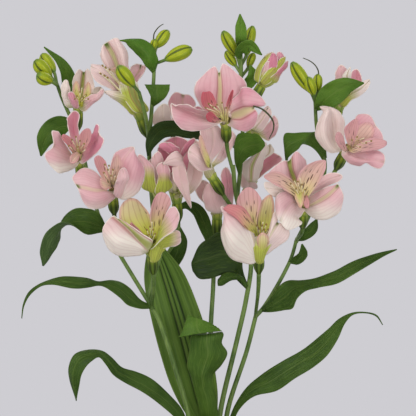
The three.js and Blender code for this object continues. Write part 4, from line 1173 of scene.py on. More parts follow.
TEPAL_THICKNESS = 0.4 * MM
CUP_RADIUS = 2.9 * MM
FUNNEL_WALL = 0.5 * MM
FUNNEL_SIDES = 48
CLAW_START = 1.4 * MM
CLAW_END = 0.2
CLAW_WIDENING = 1.6
CORNER = 0.1
RIM_WIDTH = 0.75
FADE_REACH = 18
OUTER = {"rows": 44, "columns": 29, "root": 2.4 * MM, "wave": 0.8 * MM, "channel": 0.5}
INNER = {"rows": 38, "columns": 15, "root": 1.3 * MM, "wave": 0.4 * MM, "channel": 0.3}
FILAMENT_RADII = (0.38 * MM, 0.36 * MM, 0.28 * MM)
ANTHER_RADIUS = 0.6 * MM
ANTHER_LENGTH = 2.2 * MM
HANGING_RADII = (0.45 * MM, 0.6 * MM, 0.55 * MM, 0.3 * MM)
ANTHER_SWELLING = (0.15, 0.8, 1, 1, 0.8, 0.15)
OUTER_SILK, INNER_SILK, FILAMENT, ANTHER, CUP, DRY_THREAD = range(6)


def outer(*rows, **own):
    """One of the three broad tepals of a bloom: its rows of places, and what is its own."""
    return OUTER, rows, own


def inner(*rows, **own):
    """One of the three narrow tepals."""
    return INNER, rows, own


def open_bloom(*tepals, tints, funnel=(4.5, 3.6), threads=None):
    """All that one bloom is made of."""
    return {"tepals": tepals, "tints": tints, "funnel": funnel, "threads": threads}


# A tepal runs from the cup through rows of places on the front view. A row goes from its clockwise
# edge over its midrib, the middle place, to its other edge, and the last row is its end. Then
# follows what is its own: how pink it is, between which heights the pink fades to white, how lime
# its claw is, how strong its keel, how deep the channel along it, how far the keel leans to one
# side, plain for one without a white rim, and how red the tip of an inner one is.
# Tints: how pink the outer tepals are, how lime the throat, how red the tips of the inner tepals,
# and how far the pink fades to white downwards. Funnel: its length and end radius in millimetres.
# Threads: how deep the six stamens and the style end, and where.
BLOOMS = {}
BLOOMS["bloom_crown"] = open_bloom(
    outer(((231,118,-25), (228,116,-28), (224,117,-24), (220,116,-28), (215,117,-26)),
          ((236,106,-27), (226,104,-30), (220,104,-28), (213,104,-30), (203,110,-27)),
          ((247,88,-29), (227,87,-31), (220,88,-29), (213,87,-32), (194,91,-29)),
          ((241,74,-31), (224,63,-31), (219,72,-30), (214,66,-31), (199,76,-30)),
          pink=0.6, keel=1.6, channel=0.1),
    outer(((212,112,-34), (211,114,-31), (212,119,-29), (214,123,-30), (217,125,-28)),
          ((201,110,-40), (200,112,-35), (200,115,-31), (202,124,-34), (205,130,-31)),
          ((188,105,-43), (187,108,-39), (187,110,-34), (187,120,-38), (190,131,-35)),
          ((176,104,-42), (175,106,-40), (171,104,-38), (172,116,-41), (177,128,-39)), pink=0.6),
    outer(((231,127,-28), (231,122,-29), (231,118,-27), (230,112,-30), (230,106,-29)),
          ((241,131,-33), (242,123,-35), (241,113,-33), (240,104,-36), (238,94,-33)),
          ((252,129,-35), (252,118,-40), (249,109,-38), (250,103,-41), (247,87,-38)),
          ((259,121,-38), (258,113,-40), (255,107,-39), (266,105,-40), (263,92,-40)),
          pink=0.75, keel=2.0, channel=0.1),
    inner(((219,112,-38), (216,114,-36), (212,114,-38)),
          ((215,99,-42), (208,103,-40), (202,104,-42)),
          ((211,90,-44), (206,92,-44), (201,91,-45))),
    inner(((229,110,-36), (227,112,-35), (225,111,-36)),
          ((232,100,-41), (230,100,-39), (227,102,-40)),
          ((234,91,-43), (232.5,90,-43), (230,93,-43))),
    inner(((219,119,-40), (217,121,-38), (214,123,-38)),
          ((213,113,-45), (211,117,-43), (208,121,-42)),
          ((210,111,-47), (207,114,-46), (205,118,-45)), red=1.0),
    funnel=(7, 4.6), tints=(0.85, 0.2, 0.9, 0.0),
    threads=(-52, ((206,108), (209,104), (213,107), (217,105), (222,103), (226,108), (230,112))),
)
BLOOMS["bloom_left"] = open_bloom(
    outer(((66,145,-24), (67,148,-23), (70,155,-22), (72,161,-23), (76,167,-21)),
          ((61,137,-29), (61,142,-29), (62,150,-27), (62,160,-31), (66,172,-27)),
          ((58,131,-32), (56,138,-32), (56,146,-30), (52,157,-35), (56,172,-31)),
          ((54,128,-33), (51.5,132,-34), (53.5,146,-32), (44.5,154,-36), (46,166,-34)),
          white=(158, 168), pink=0.6),
    outer(((80,138,-22), (76,140,-20), (70,139,-22)),
          ((78.5,127,-22), (74,128,-17), (68,127,-21)),
          ((79,114,-21), (74,116,-16), (66.5,119,-20)),
          ((78.5,111,-20), (73,111,-17), (67,117,-18)), pink=0.85),
    outer(((82,164,-23), (82,159,-24), (82,154,-23), (82,149,-25), (83,145,-25)),
          ((91,158,-29), (91,151,-30), (91,144,-28), (91,139,-30), (92,134,-29)),
          ((99,151,-34), (99,145,-35), (97,138,-33), (95,132,-33), (95,126,-32)),
          ((104,145,-37), (104,139,-37), (98.5,133,-36), (99.5,127,-35), (97,120,-34)), pink=0.85),
    inner(((76,148,-36), (73,150,-34), (71,151,-35)),
          ((71,138,-39), (68,141,-38), (66,144,-39)),
          ((64,133,-41), (62,135.5,-41), (61,138.5,-41)), red=0.7),
    inner(((85,150,-34), (82,150,-32), (79,148,-34)),
          ((91,138,-38), (85,139,-35), (79,138,-37)),
          ((91.5,129,-39), (86.5,128.5,-37), (80.5,132,-38)), red=0.6),
    inner(((76,152,-36), (78,154,-35), (80,157,-35)),
          ((71,155,-42), (74,158,-41), (78,161,-41)),
          ((69,160,-45), (71,163,-45), (75,164,-44)), red=0.1),
    tints=(0.62, 0.3, 0.5, 0.3),
    threads=(-46, ((72,140), (76,137), (80,141), (84,144), (69,146), (78,147), (85,150))),
)
BLOOMS["bloom_left_middle"] = open_bloom(
    outer(((101,177,-44), (102,184,-46), (104,190,-47), (108,196,-46), (113,200,-40)),
          ((93,170,-43), (93,180,-47), (95,190,-50), (98,200,-50), (103,208,-44)),
          ((83,168,-44), (83,177,-48), (86,188,-50), (88,198,-52), (92,209,-47)),
          ((75,172,-45), (72,178,-47), (76,186,-49), (79.5,193,-50), (82,203,-48)),
          pink=0.55, white=(196, 216), keel=0.6),
    outer(((124,200,-42), (120,195,-44), (117,190,-44), (113,186,-43), (110,182,-42)),
          ((139,191,-42), (130,184,-47), (121,175,-46), (115,170,-43), (111,166,-42)),
          ((145,173,-42), (136,166,-48), (124,159,-47), (118,157,-43), (113,156,-41)),
          ((139,159,-42), (135,153,-45), (134,146.5,-45), (125,148,-42), (117,150,-40)),
          pink=0.65, white=(172, 205)),
    outer(((121,198,-48), (117,197,-50), (114,194,-47)),
          ((126,186,-58), (121,186,-60), (115,184,-56)),
          ((129,177,-63), (124,177,-65), (116,181,-61)),
          ((127,168,-60), (122,168,-62), (118,173,-60)), pink=0.5),
    inner(((110,178,-52), (106,181,-51), (102,178,-52)),
          ((107,165,-55), (102,168,-53), (97,169,-55)),
          ((104,158,-56), (98,155.5,-56), (92.5,159,-57))),
    inner(((118,178,-52), (114,180,-51), (110,178,-52)),
          ((122,166,-56), (116,167,-54), (110,168,-55)),
          ((121,157,-57), (117,154,-56), (112.5,158,-57)), red=0.3),
    inner(((108,181,-50), (108,185,-49), (109,189,-50)),
          ((103,178,-53), (104,184,-52), (106,190,-53)),
          ((100,176,-54), (100,183,-54), (103,190,-54)), red=0.0),
    tints=(0.75, 0.4, 0.6, 0.35),
    threads=(-62, ((105,165), (108,170), (111,176), (104,173), (113,170), (109,166), (115,176))),
)
BLOOMS["bloom_lower_left"] = open_bloom(
    outer(((153,241,-54), (151,246,-52), (148,251,-50), (147,252,-48), (146,253,-45)),
          ((143,234,-58), (141,239,-56), (138,241,-54), (135,247,-54), (136,256,-48)),
          ((132,226,-60), (130,229,-59), (128,230,-57), (119,243,-60), (118,256,-52)),
          ((119,218,-56), (117,218,-57), (112,216,-56), (103,227,-60), (101.5,240,-55)),
          pink=0.35, white=(226, 240), keel=3.2, lean=0.42),
    outer(((150,232,-44), (145,232,-42), (140,234,-44)),
          ((148,216,-41), (139,216,-37), (128,220,-41)),
          ((144,206,-40), (139,204,-37), (128,206,-40)), pink=0.2),
    outer(((152,249,-52), (155,245,-51), (157,240,-50)),
          ((163,238,-58), (162,231,-55), (162,223,-52)),
          ((175,230,-60), (172,222,-58), (167,212,-54)),
          ((180,221,-58), (179,213,-58), (174,203,-55)), pink=0.55, lime=2.5),
    outer(((160,256,-44), (158,250,-47), (155,246,-48)),
          ((164,248,-48), (166,242,-53), (166,236,-54)),
          ((172,247,-50), (174,240,-54), (174,231,-54)),
          ((181,245,-50), (181,237,-52), (179.5,229,-52)), pink=0.4, lime=3.0),
    outer(((156.5,262,-44), (153.5,262.5,-46), (150.5,262,-44)),
          ((162,254,-46), (155.5,254,-50), (149.5,254,-47)),
          ((168,245,-48), (158,243,-50), (149,245,-50)), pink=0.0, lime=4.0, keel=0.0, plain=9),
    inner(((153,236,-48), (149,238,-46), (144,238,-47)),
          ((150,216,-49), (144,217,-45), (137,219,-43), (129,221,-45), (121,222,-48)),
          ((144,206,-47), (138,200,-44), (131,198,-42), (126,200,-43), (120,202,-45)), red=0.1),
    inner(((160,236,-50), (156,238,-48), (152,236,-49)),
          ((166,214,-50), (161,216,-47), (157,217,-46), (153,218,-47), (150,218,-50)),
          ((173,201,-50), (168,195,-48), (162,192,-48), (157,194,-48), (153,199,-50)), red=0.5),
    inner(((146,238,-50), (144,240,-50), (142,241,-50)),
          ((139,229,-54), (137,230,-54), (135,232,-54)),
          ((133,224,-57), (131,222.5,-57), (129,225.5,-57)), red=0.65),
    funnel=(9, 7), tints=(0.35, 1.0, 0.3, 0.5),
    threads=(-56, ((147,230), (150,227), (153,230), (149,235), (155,234), (146,236), (152,222))),
)
BLOOMS["bloom_lower_middle"] = open_bloom(
    outer(((257,246,-46), (256,248,-48), (255,251,-48), (255,256,-47), (257,261,-44)),
          ((253,230,-50), (252,232,-53), (250,236,-54), (243,250,-55), (243,263,-48)),
          ((247,216,-52), (246,218,-56), (243,221,-58), (232,240,-62), (227,254,-53)),
          ((239,207,-52), (238,210,-57), (235,214,-60), (226,229,-63), (221.5,236,-56)),
          ((228,204,-50), (226,206,-55), (220.5,207,-57), (224,216,-58), (222.5,223,-56)),
          pink=0.5, white=(212, 240), keel=0.9, lime=0.5, lean=0.35),
    inner(((252,219,-58), (248,222,-60), (243,226,-60)),
          ((243,207,-60), (239,211,-63), (233,216,-63)),
          ((230,203.5,-60), (226,206,-63), (221,210,-62)), red=0.75),
    outer(((262,263,-42), (259.5,264,-44), (257,263,-42)),
          ((267,252,-49), (260.5,252,-51), (253,252,-49)),
          ((276,238,-51), (263,236,-51), (250,237,-51)), pink=0.1, lime=3.2, keel=0.0, plain=9),
    outer(((263,234,-41), (258,232,-39), (253,234,-41)),
          ((268,212,-38), (258,211,-34), (248,214,-38)),
          ((266,200,-36), (258,199,-34), (250,201,-36)), pink=0.3),
    outer(((266,255,-44), (264,252,-48), (262,250,-50), (262,246,-50), (263,243,-50)),
          ((276,248,-47), (271,243,-51), (267,242,-53), (267,237,-52), (268,232,-50)),
          ((287,240,-48), (280,235,-51), (272,232,-54), (272,224,-52), (273,214,-48)),
          ((292,230,-47), (286,225,-49), (278,222,-50), (279,216,-49), (280,211,-47)),
          pink=0.2, keel=0.6),
    inner(((258,240,-47), (254,238,-45), (250,236,-46)),
          ((257,220,-48), (251,218,-46), (245,214,-46)),
          ((261,203,-48), (255,202,-46), (249,203,-45), (244,205,-45), (238,207,-46)),
          ((260,194,-47), (254,189,-45), (248,187,-45), (242,191,-46), (235.5,197.5,-47)), red=0.5),
    inner(((270,236,-45), (264,238,-44), (259,236,-45)),
          ((274,215,-44), (266,215,-41), (258,215,-43)),
          ((274,199,-43), (270,194.5,-41), (262,199,-41)), red=0.0),
    inner(((263,252,-48), (261,253,-49), (259,251,-48)),
          ((269,243,-52), (263,243,-54), (257,243,-52)),
          ((269,236,-54), (263,232.5,-56), (256.5,236,-54)), red=0.1, lime=1.3),
    funnel=(9, 6.4), tints=(0.45, 0.9, 0.4, 0.5),
    threads=(-50, ((262,226), (266,225), (259,229), (264,230), (268,230), (257,226), (263,222))),
)
BLOOMS["bloom_right_middle"] = open_bloom(
    outer(((305,196,-31), (300,194,-31), (297,193,-29), (293,194,-31), (289,197,-31)),
          ((305,178,-30), (299,177,-32), (294,178,-29), (287,180,-33), (276,184,-34)),
          ((307,163,-29), (297,166,-33), (290,168,-29), (284,168,-34), (266,178,-35)),
          ((303,154,-28), (296,151,-31), (289,160,-29), (282,161,-33), (269,169,-34)),
          pink=0.55, keel=1.6, lime=1.2),
    outer(((310,216,-37), (309,211,-39), (309,206,-39), (309,202,-38), (309,198,-37)),
          ((322,220,-42), (321,210,-46), (320,200,-45), (319,195,-44), (318,191,-43)),
          ((337,215,-46), (334,203,-51), (330,193,-50), (329,189,-49), (328,186.5,-48)),
          ((344.5,203,-48), (343.5,194,-51), (338.5,184,-52), (337,184,-51), (336,184.5,-50)),
          pink=0.55, white=(196, 216), keel=0.9),
    outer(((291,193,-42), (292,197,-44), (294,202,-44), (297,210,-43), (301,216,-40)),
          ((283,191,-46), (285,199,-50), (288,207,-50), (293,214,-49), (299,219,-43)),
          ((276,197,-49), (279,205,-54), (284,214,-54), (291,221,-52), (302,223,-46)),
          ((273,208,-51), (277,218,-54), (280,222,-54), (287,230,-53), (296,230,-49)),
          pink=0.5, white=(206, 224)),
    outer(((292,190,-38), (290,192,-38), (289,195,-38)),
          ((276,184,-40), (278,190,-41), (281,197,-40)),
          ((263.5,180,-41), (265,188,-43), (273,198,-42)), pink=0.1),
    outer(((310,198,-30), (310,194,-31), (311,190,-30)),
          ((324,188,-33), (324,182,-35), (323,176,-33)),
          ((343,180,-36), (342,175,-36), (334,171.5,-35)), pink=0.45),
    inner(((298,188,-46), (297,192,-45), (296,197,-46)),
          ((289,177,-51), (287,184,-49), (286,191,-51)),
          ((275,171,-53), (274,178,-51), (277,186,-53)),
          ((266,173.5,-53), (264,176.5,-53), (266,180,-53)), red=0.35),
    inner(((308,197,-46), (303,196,-44), (298,194,-46)),
          ((318,184,-50), (308,181,-46), (297,180,-49)),
          ((325,171,-52), (315,168,-48), (303,168,-50)),
          ((327,162,-51), (324,160,-50), (313,161,-50)), red=0.35),
    inner(((294,188,-44), (299,188,-43), (304,190,-44)),
          ((295,198,-48), (300,199,-48), (304,200,-48)),
          ((298,205,-50), (300,208,-50), (303,206,-50)), red=0.0, lime=1.4),
    inner(((303,199,-46), (305,197,-46), (307,195,-46)),
          ((304,206,-50), (307,204,-51), (309,200,-50)),
          ((305,208,-52), (308,208,-53), (310,205,-52)), red=0.6),
    tints=(0.65, 0.45, 0.35, 0.4),
    threads=(-56, ((291,184), (294,180), (298,182), (302,185), (296,189), (305,190), (300,178))),
)
BLOOMS["bloom_right"] = open_bloom(
    outer(((345,144,-20), (342,146,-19), (339,149,-18), (335,151,-20), (331,153,-19)),
          ((344,132,-20), (339,134,-20), (335,137,-18), (326,140,-24), (318,142,-20)),
          ((345,122,-18), (339,121,-19), (333,122,-18), (324,125,-25), (315.5,129,-21)),
          ((341,114,-17), (337,111,-18), (331,109,-20), (327,111,-24), (320,117,-22)),
          ((336,109,-15), (330,107,-16), (320,106,-18), (322,110,-18), (324,112,-18)), pink=0.2),
    outer(((362,150,-21), (358,147,-20), (355,145,-19), (351,141,-19), (347,138,-18)),
          ((374,146,-22), (368,140,-21), (363,136,-19), (358,129,-19), (353,124,-17)),
          ((383,141,-22), (378,134,-21), (371,129,-18), (367,121,-18), (357,115,-14)),
          ((384.5,137,-21), (380,130,-20), (376,125,-18), (371,116,-16), (363,111,-13))),
    outer(((342,156,-22), (345,154,-24), (348,152,-24), (350,150,-24), (352,148,-24)),
          ((351,164,-26), (354,160,-30), (358,157,-30), (361,153,-30), (364,150,-29)),
          ((360,166.5,-29), (363,162,-33), (367,159,-33), (370,154,-33), (372,150,-32)),
          ((365,163,-32), (368,162,-34), (373,160,-35), (375,155,-35), (375,150,-33)),
          ((374,169,-33), (381,168.5,-35), (385,162,-36), (384.5,155,-35), (380,150,-33))),
    inner(((347,148,-32), (345,150,-31), (342,150,-32)),
          ((344,140,-36), (341,142,-35), (337,144,-36)),
          ((342,133,-38), (338,132,-38), (334,136,-37)), red=0.5),
    inner(((354,151,-28), (351,148,-27), (349,145,-28)),
          ((369,142,-31), (363,135,-30), (356,129,-31)),
          ((376,133,-32), (372,124,-31), (364,121,-32)), red=0.1),
    inner(((354,144,-36), (351,143,-34), (347,142,-36)),
          ((358,130,-40), (351,131,-37), (344,130,-39)),
          ((359,118,-41), (355,119,-40), (349,122,-40)), red=0.55),
    inner(((354,153,-34), (354,150,-33), (355,146,-34)),
          ((368,151,-37), (368,146,-36), (367,139,-36)),
          ((381,149,-38), (381,144,-38), (378,138,-37)),
          ((386,147,-38), (387,143,-38), (386,139.5,-38)), red=0.5),
    tints=(0.65, 0.2, 0.6, 0.1),
    threads=(-44, ((357,137), (352,140), (366,143), (371,141), (360,147), (349,146), (364,138))),
)
BLOOMS["bloom_centre"] = open_bloom(
    outer(((204,158,-20), (205,163,-22), (209,170,-19)),
          ((199,147,-24), (198,157,-29), (200,171,-23)),
          ((195,141,-24), (188,151,-28), (189,164,-26)), pink=0.35),
    outer(((212,162,-14), (209,161,-16), (206,160,-18)),
          ((222,148,-11), (213,146,-16), (204,146,-20)),
          ((224,136,-8), (213,132,-13), (200,133,-18)),
          ((220,126,-7), (211,123,-11), (201,126,-16))),
    outer(((222,162,-4), (218,162,-4), (214,160,-4)),
          ((231,150,5), (226,147,5), (221,145,4)),
          ((238,137,7), (231,130,8), (224,131,6))),
    inner(((210,160,-26), (208.5,164,-26), (207,166,-26)),
          ((206.5,149,-30), (203.5,151,-29), (201,152,-30)),
          ((203,139,-31), (200.5,135,-31), (198,139,-31))),
    tints=(0.45, 0.8, 0.1, 0.2),
)
BLOOMS["bloom_back_left"] = open_bloom(
    outer(((176,128,20), (172,130,19), (168,131,20)),
          ((171,118,17), (163,119,14), (153,124,17)),
          ((170,105,16), (162,104,15), (153,113,16)), pink=0.15),
    outer(((183,128,30), (178,128,32), (174,128,30)),
          ((192,112,34), (182,112,37), (170,113,34)),
          ((198,102,35), (190,95,36), (183,94,37), (175,92,36), (167,99,35)), pink=0.7, keel=0.3),
    outer(((190,128,24), (186,130,22), (182,130,22)),
          ((204,118,20), (196,118,18), (188,118,20)),
          ((203,108,18), (198,106,17), (192,108,18))),
    tints=(0.8, 0.3, 0.2, 0.0),
)
BLOOMS["bloom_nodding"] = open_bloom(
    outer(((184,190,-2), (180,192,-4), (176,190,-2)),
          ((184,174,-8), (178,174,-9), (173,174,-8)),
          ((184.5,167,-12), (178,166,-13), (172,167,-12)),
          ((188,180,-16), (181,181,-18), (174,181,-16)),
          ((190,194,-17), (186,195,-18), (182,194,-17)),
          ((192,206,-16), (191,208,-16), (189,206,-16)), pink=0.45),
    outer(((178,188,-6), (175,190,-8), (172,190,-6)),
          ((183,164,-9), (178,170,-9), (172,172,-7)),
          ((181,154,-11), (183,161,-13), (186,168,-12)),
          ((176,151,-14), (176,159,-16), (176,167,-14)),
          ((168,156,-15), (168,161,-16), (168,165,-15)),
          ((163.5,163,-15), (163,164,-15), (163.5,165,-15)), pink=0.4),
    outer(((188,170,2), (178,172,6), (165,172,2)),
          ((191,153,0), (176,153,6), (158,155,0)),
          ((192,141,-2), (175,136.5,2), (158,145,-2)), pink=0.9),
    outer(((182,160,-4), (180,160,-4), (178,160,-4)),
          ((190,148,-8), (187,147,-9), (184,146,-8)),
          ((197,141,-9), (194,138,-10), (188,140,-9)), pink=0.95),
    outer(((172,190,-2), (168,190,-4), (165,190,-2)),
          ((166,168,-6), (158,170,-8), (153,172,-5)),
          ((160,149,-7), (154,154,-8), (150,160,-6)), pink=0.5),
    outer(((176,160,-9), (174,158,-9), (172,158,-9)),
          ((180,149,-11), (172,149,-13), (166,151,-11)),
          ((178,147,-13), (168,145,-14), (157,146,-13)),
          ((174,143,-12), (167,142,-13), (158,143,-12)), pink=1.0),
    outer(((184,196,0), (181,197,2), (179,197,2)),
          ((201,182,2), (192,179,6), (184,180,4)),
          ((203,160,2), (194,160,7), (185,162,4)),
          ((202,142,2), (194,140,5), (186,144,3)), pink=0.3),
    funnel=(9, 5), tints=(0.6, 1.0, 0.4, 0.0),
)
BLOOMS["bloom_inner"] = open_bloom(
    outer(((222,212,4), (217,213,3), (212,212,4)),
          ((224,200,2), (213,200,-1), (204,203,2)),
          ((221,190,2), (212,187,0), (203,192,2)),
          ((217,186,3), (211,183,2), (205,185,3)), pink=0.45),
    outer(((226,212,12), (222,212,12), (219,212,10)),
          ((234,192,15), (228,192,12), (222,194,12)),
          ((231,172,15), (226,167,14), (220,172,14)), pink=0.7),
    outer(((220,210,18), (216,210,20), (212,210,18)),
          ((216,196,22), (208,196,24), (199,198,22)),
          ((212,184,22), (202,180,22), (194,188,22)), pink=0.4),
    tints=(0.5, 0.4, 0.2, 0.2),
)
BLOOMS["bloom_back_right"] = open_bloom(
    outer(((256,182,14), (251,182,11), (246,182,13)),
          ((262,166,12), (252,166,8), (242,166,12)),
          ((267,151,12), (260,150,9), (251,157,12)),
          ((268,144,12), (264,142,11), (259,147,12)), pink=0.1, keel=1.2),
    outer(((254,184,26), (254,180,28), (253,176,28)),
          ((264,174,30), (263,166,34), (261,158,32)),
          ((275,166,30), (273,160,33), (268,152,31)),
          ((284,160,29), (280,156,30), (272,151,30)), pink=0.8),
    outer(((252,188,20), (249,188,18), (246,188,18)),
          ((257,184,14), (248,180,11), (240,182,14)),
          ((251,177,13), (245,173,12), (238,174,13)), pink=0.3),
    outer(((262,162,22), (260,160,21), (257,160,22)),
          ((274,152,20), (269,153,19), (264,154,20)),
          ((273,147,19), (270,144,18), (266,147,19)), pink=0.0, keel=1.0),
    funnel=(8, 4.4), tints=(0.6, 0.9, 0.4, 0.0),
)
BLOOMS["bloom_back_top"] = open_bloom(
    outer(((258,132,10), (254,130,8), (251,128,8)),
          ((268,122,8), (263,118,5), (258,116,8)),
          ((273,112,9), (268,107,8), (263,111,8)), pink=0.3, keel=0.6),
    outer(((262,138,14), (260,135,14), (258,132,14)),
          ((272,138,14), (271,130,11), (269,122,13)),
          ((278,132,14), (278.5,122,13), (274,113,13)), pink=0.6),
    outer(((258,130,24), (256,128,26), (254,126,24)),
          ((268,118,28), (264,116,31), (260,114,28)),
          ((272,110,28), (268,106,29), (264,108,28)), pink=1.2),
    funnel=(8, 4.4), tints=(0.4, 1.0, 0.4, 0.0),
)
BLOOMS["bloom_far_left"] = open_bloom(
    outer(((88,104,-4), (81,105,0), (75,104,-4)),
          ((94,88,-3), (88,87,0), (82,88,4), (77,87,0), (72,87,-3)),
          ((92,72,-3), (88,68.5,0), (84,71.5,4), (79,69,0), (74.5,73,-3)), pink=0.15, keel=1.4, lime=1.5),
    outer(((76,106,-6), (72,107,-7), (70,108,-5)),
          ((70,97,-9), (66,98,-11), (63,100,-8)),
          ((70,88,-11), (66,86,-13), (61,89,-10)),
          ((69,82,-11), (66,79.5,-12), (62,82,-11)), pink=0.1),
    outer(((82,111,-6), (83,106,-8), (83,101,-6)),
          ((92,105,-12), (92,100,-15), (91,95,-12)),
          ((100,99,-14), (99,96,-16), (97,93,-14)),
          ((105,92,-14), (104,89.5,-14), (102,88,-14)), pink=0.5, keel=0.4),
    outer(((88,106,2), (86,105,3), (84,104,3)),
          ((98,97,4), (95,96,6), (91,92,4)),
          ((105,92,5), (101,87,6), (94,87,5)), pink=0.0),
    outer(((79,107,-12), (76,108,-14), (73,107,-12)),
          ((77,99,-15), (73,100,-18), (69,99,-15)),
          ((74,92,-16), (70,91.5,-17), (67,93,-16)), pink=0.75),
    inner(((84,106,-8), (82,107,-7), (80,106,-8)),
          ((91,93,-9), (87,94,-8), (83,95,-9)),
          ((91,84,-9), (88,82,-8), (85,86,-9)), red=0.0),
    inner(((79,106,-8), (77,106,-7), (76,105,-8)),
          ((80,93,-9), (76,93,-8), (73,94,-9)),
          ((79,83,-9), (76,81,-8), (73,85,-9)), red=0.0),
    tints=(0.4, 1.0, 0.3, 0.0),
    threads=(-22, ((77,96), (83,97), (80,92), (86,95), (88,99), (75,99), (82,88))),
)
BLOOMS["bloom_top_left"] = open_bloom(
    outer(((131,82,-2), (127,82,-4), (121,82,-2), (116,80,-4), (112,78,-4)),
          ((129,68,-2), (124,66,-6), (117,66,0), (110,68,-6), (105,66,-5)),
          ((128,54,-3), (121,52,-7), (112,53,0), (105,58,-6), (100,56,-4)),
          ((123,42,-3), (116,37.5,-5), (105,43,-2), (102,46,-4), (100,51,-4)),
          pink=0.3, keel=0.9, lime=2.0),
    outer(((124,82,-8), (120,86,-9), (118,95,-7)),
          ((112,72,-14), (108,77,-17), (110,89,-14)),
          ((101,65,-17), (98,70,-20), (98,83,-17)),
          ((92,63,-17), (90.5,66,-18), (90,76,-17)), pink=0.3),
    outer(((133,92,2), (130,88,4), (127,84,2)),
          ((138,82,6), (134,78,9), (129,74,6)),
          ((144,73,8), (140,69,10), (131,66,7)),
          ((149,66,8), (141,64.5,9), (134,62.5,7)), pink=0.5, keel=0.6),
    outer(((140,104,-8), (136,110,-10), (133,115,-6)),
          ((128,92,-10), (125,98,-15), (122,105,-10)),
          ((116,91,-12), (114,95,-15), (111,98,-12)),
          ((105,90,-13), (104,92,-13), (107,94.5,-12)), pink=0.1, keel=0.5, lime=2.5),
    outer(((147,112,-2), (142,112,-8), (137,113,-10)),
          ((142,98,-4), (134,98,-13), (124,99,-14)),
          ((138,86,-4), (130,85,-12), (119,87,-13)),
          ((134,78,0), (128,76,-6), (119,79,-8)), pink=0.0, keel=1.6, lime=2.7),
    inner(((128,84,-10), (124,86,-9), (121,88,-10)),
          ((122,74,-13), (117,76,-12), (113,80,-13)),
          ((119,67,-14), (113,68,-13), (107,72,-14)), red=0.2),
    funnel=(9, 4.6), tints=(0.3, 1.0, 0.3, 0.0),
    threads=(-24, ((103,66), (106,68), (101,74), (105,76), (108,78), (110,70), (99,72))),
)
BLOOMS["bloom_top_right"] = open_bloom(
    outer(((343,107,8), (340,104,6), (338,101,8)),
          ((352,100,4), (349,95,1), (347,91,5)),
          ((363,94,2), (360,89,0), (358,84,4)),
          ((371,84,2), (370,80,2), (369,78,3)), pink=0.1, keel=0.8, lime=2.0),
    outer(((344,100,14), (340,100,14), (337,100,14)),
          ((348,84,12), (342,84,9), (335,84,12)),
          ((349,70,12), (341,64.5,11), (335.5,70,12)), pink=0.5),
    outer(((352,96,24), (348,96,26), (345,96,24)),
          ((362,84,26), (356,84,29), (350,84,26)),
          ((361,73,26), (357,69,27), (351,70,26)), pink=0.7),
    outer(((350,84,6), (347,84,5), (344,84,6)),
          ((351,76,5), (347,76,3), (342,77,5)),
          ((351,68,4), (350,67,4), (347,70,4)), pink=0.0, keel=1.0),
    funnel=(9, 4.2), tints=(0.45, 1.0, 0.2, 0.0),
)
BLOOMS["bloom_inner_left"] = open_bloom(
    outer(((156,194,-8), (153,193,-10), (150,191,-8)),
          ((155,180,-12), (149,180,-15), (144,178,-12)),
          ((154,168,-14), (148,167,-16), (141,168,-13)),
          ((146,159,-14), (140,154,-16), (136,158,-14)), pink=0.6, lime=2.2, keel=0.2),
    outer(((165,192,-8), (162,194,-10), (159,194,-9)),
          ((170,178,-10), (164,178,-14), (158,178,-11)),
          ((170,167,-12), (163,162,-13), (155,166,-12)), pink=0.6, lime=2.2, keel=0.2),
    outer(((162,190,-2), (158,190,2), (154,190,-2)),
          ((165,172,-2), (156,172,4), (147,172,-2)),
          ((160,160,-2), (154,158,1), (147,161,-2)), pink=0.4),
    funnel=(8, 4.6), tints=(0.3, 1.0, 0.2, 0.0),
)


def step_up(values, low, high):
    """From 0 where values are low to 1 where they are high, smoothly."""
    share = np.clip((values - low) / (high - low), 0, 1)
    return share * share * (3 - 2 * share)


def laid_sheet(kind, foot, rise, rows, own, seed):
    """A smooth sheet from a ring round the cup through all rows of places, ruffled near its end."""
    share = np.linspace(0, 1, kind["rows"])
    across = np.linspace(-1, 1, kind["columns"])
    given = crossed(rows, across)
    centre = kind["columns"] // 2
    outward = given[1][centre] - foot
    aside = unit(outward - rise * np.dot(outward, rise))
    beside = np.cross(rise, aside)
    length = np.linalg.norm(given[-1][centre] - foot)
    rings = []
    wider = CLAW_WIDENING * kind["root"]
    for height, radius, spread in ((CLAW_START, kind["root"], 0.95), (CLAW_END * length, wider, 1.1)):
        turn = across[:, None] * spread
        rings.append(foot + rise * height + radius * (np.cos(turn) * aside + np.sin(turn) * beside))
    lines = np.concatenate([rings, given])
    run = walked(lines[:, centre])
    run /= run[-1]
    rounded = 1 - CORNER * across ** 6
    sheet = np.stack([through(lines[:, k], run, share * rounded[k]) for k in range(len(across))], axis=1)
    normal = facing_of(sheet)
    along = share[:, None]
    across = across[None, :]
    edge = np.abs(across)
    broad = 0.5 * np.sin(15 * along + 2 * np.sign(across) + seed)
    fine = 0.4 * np.sin(27 * along + 5 * across + 2 * seed)
    ruffle = edge ** 3 * step_up(along, 0.3, 0.8) * (broad + fine)
    groove = own.get("channel", kind["channel"]) * np.exp(-(across / 0.13) ** 2) * step_up(along, 0.1, 0.5)
    return sheet + normal * ((0.7 * kind["wave"] * ruffle - groove * MM)[..., None]), along, across


def rim_distance(sheet):
    """How far each point of a tepal lies from its border, in millimetres."""
    rows = len(sheet) // 4
    border = np.concatenate([sheet[rows:, 0], sheet[rows:, -1], sheet[-1]])
    apart = np.linalg.norm(sheet[:, :, None] - border[None, None], axis=3)
    return apart.min(axis=2) / MM


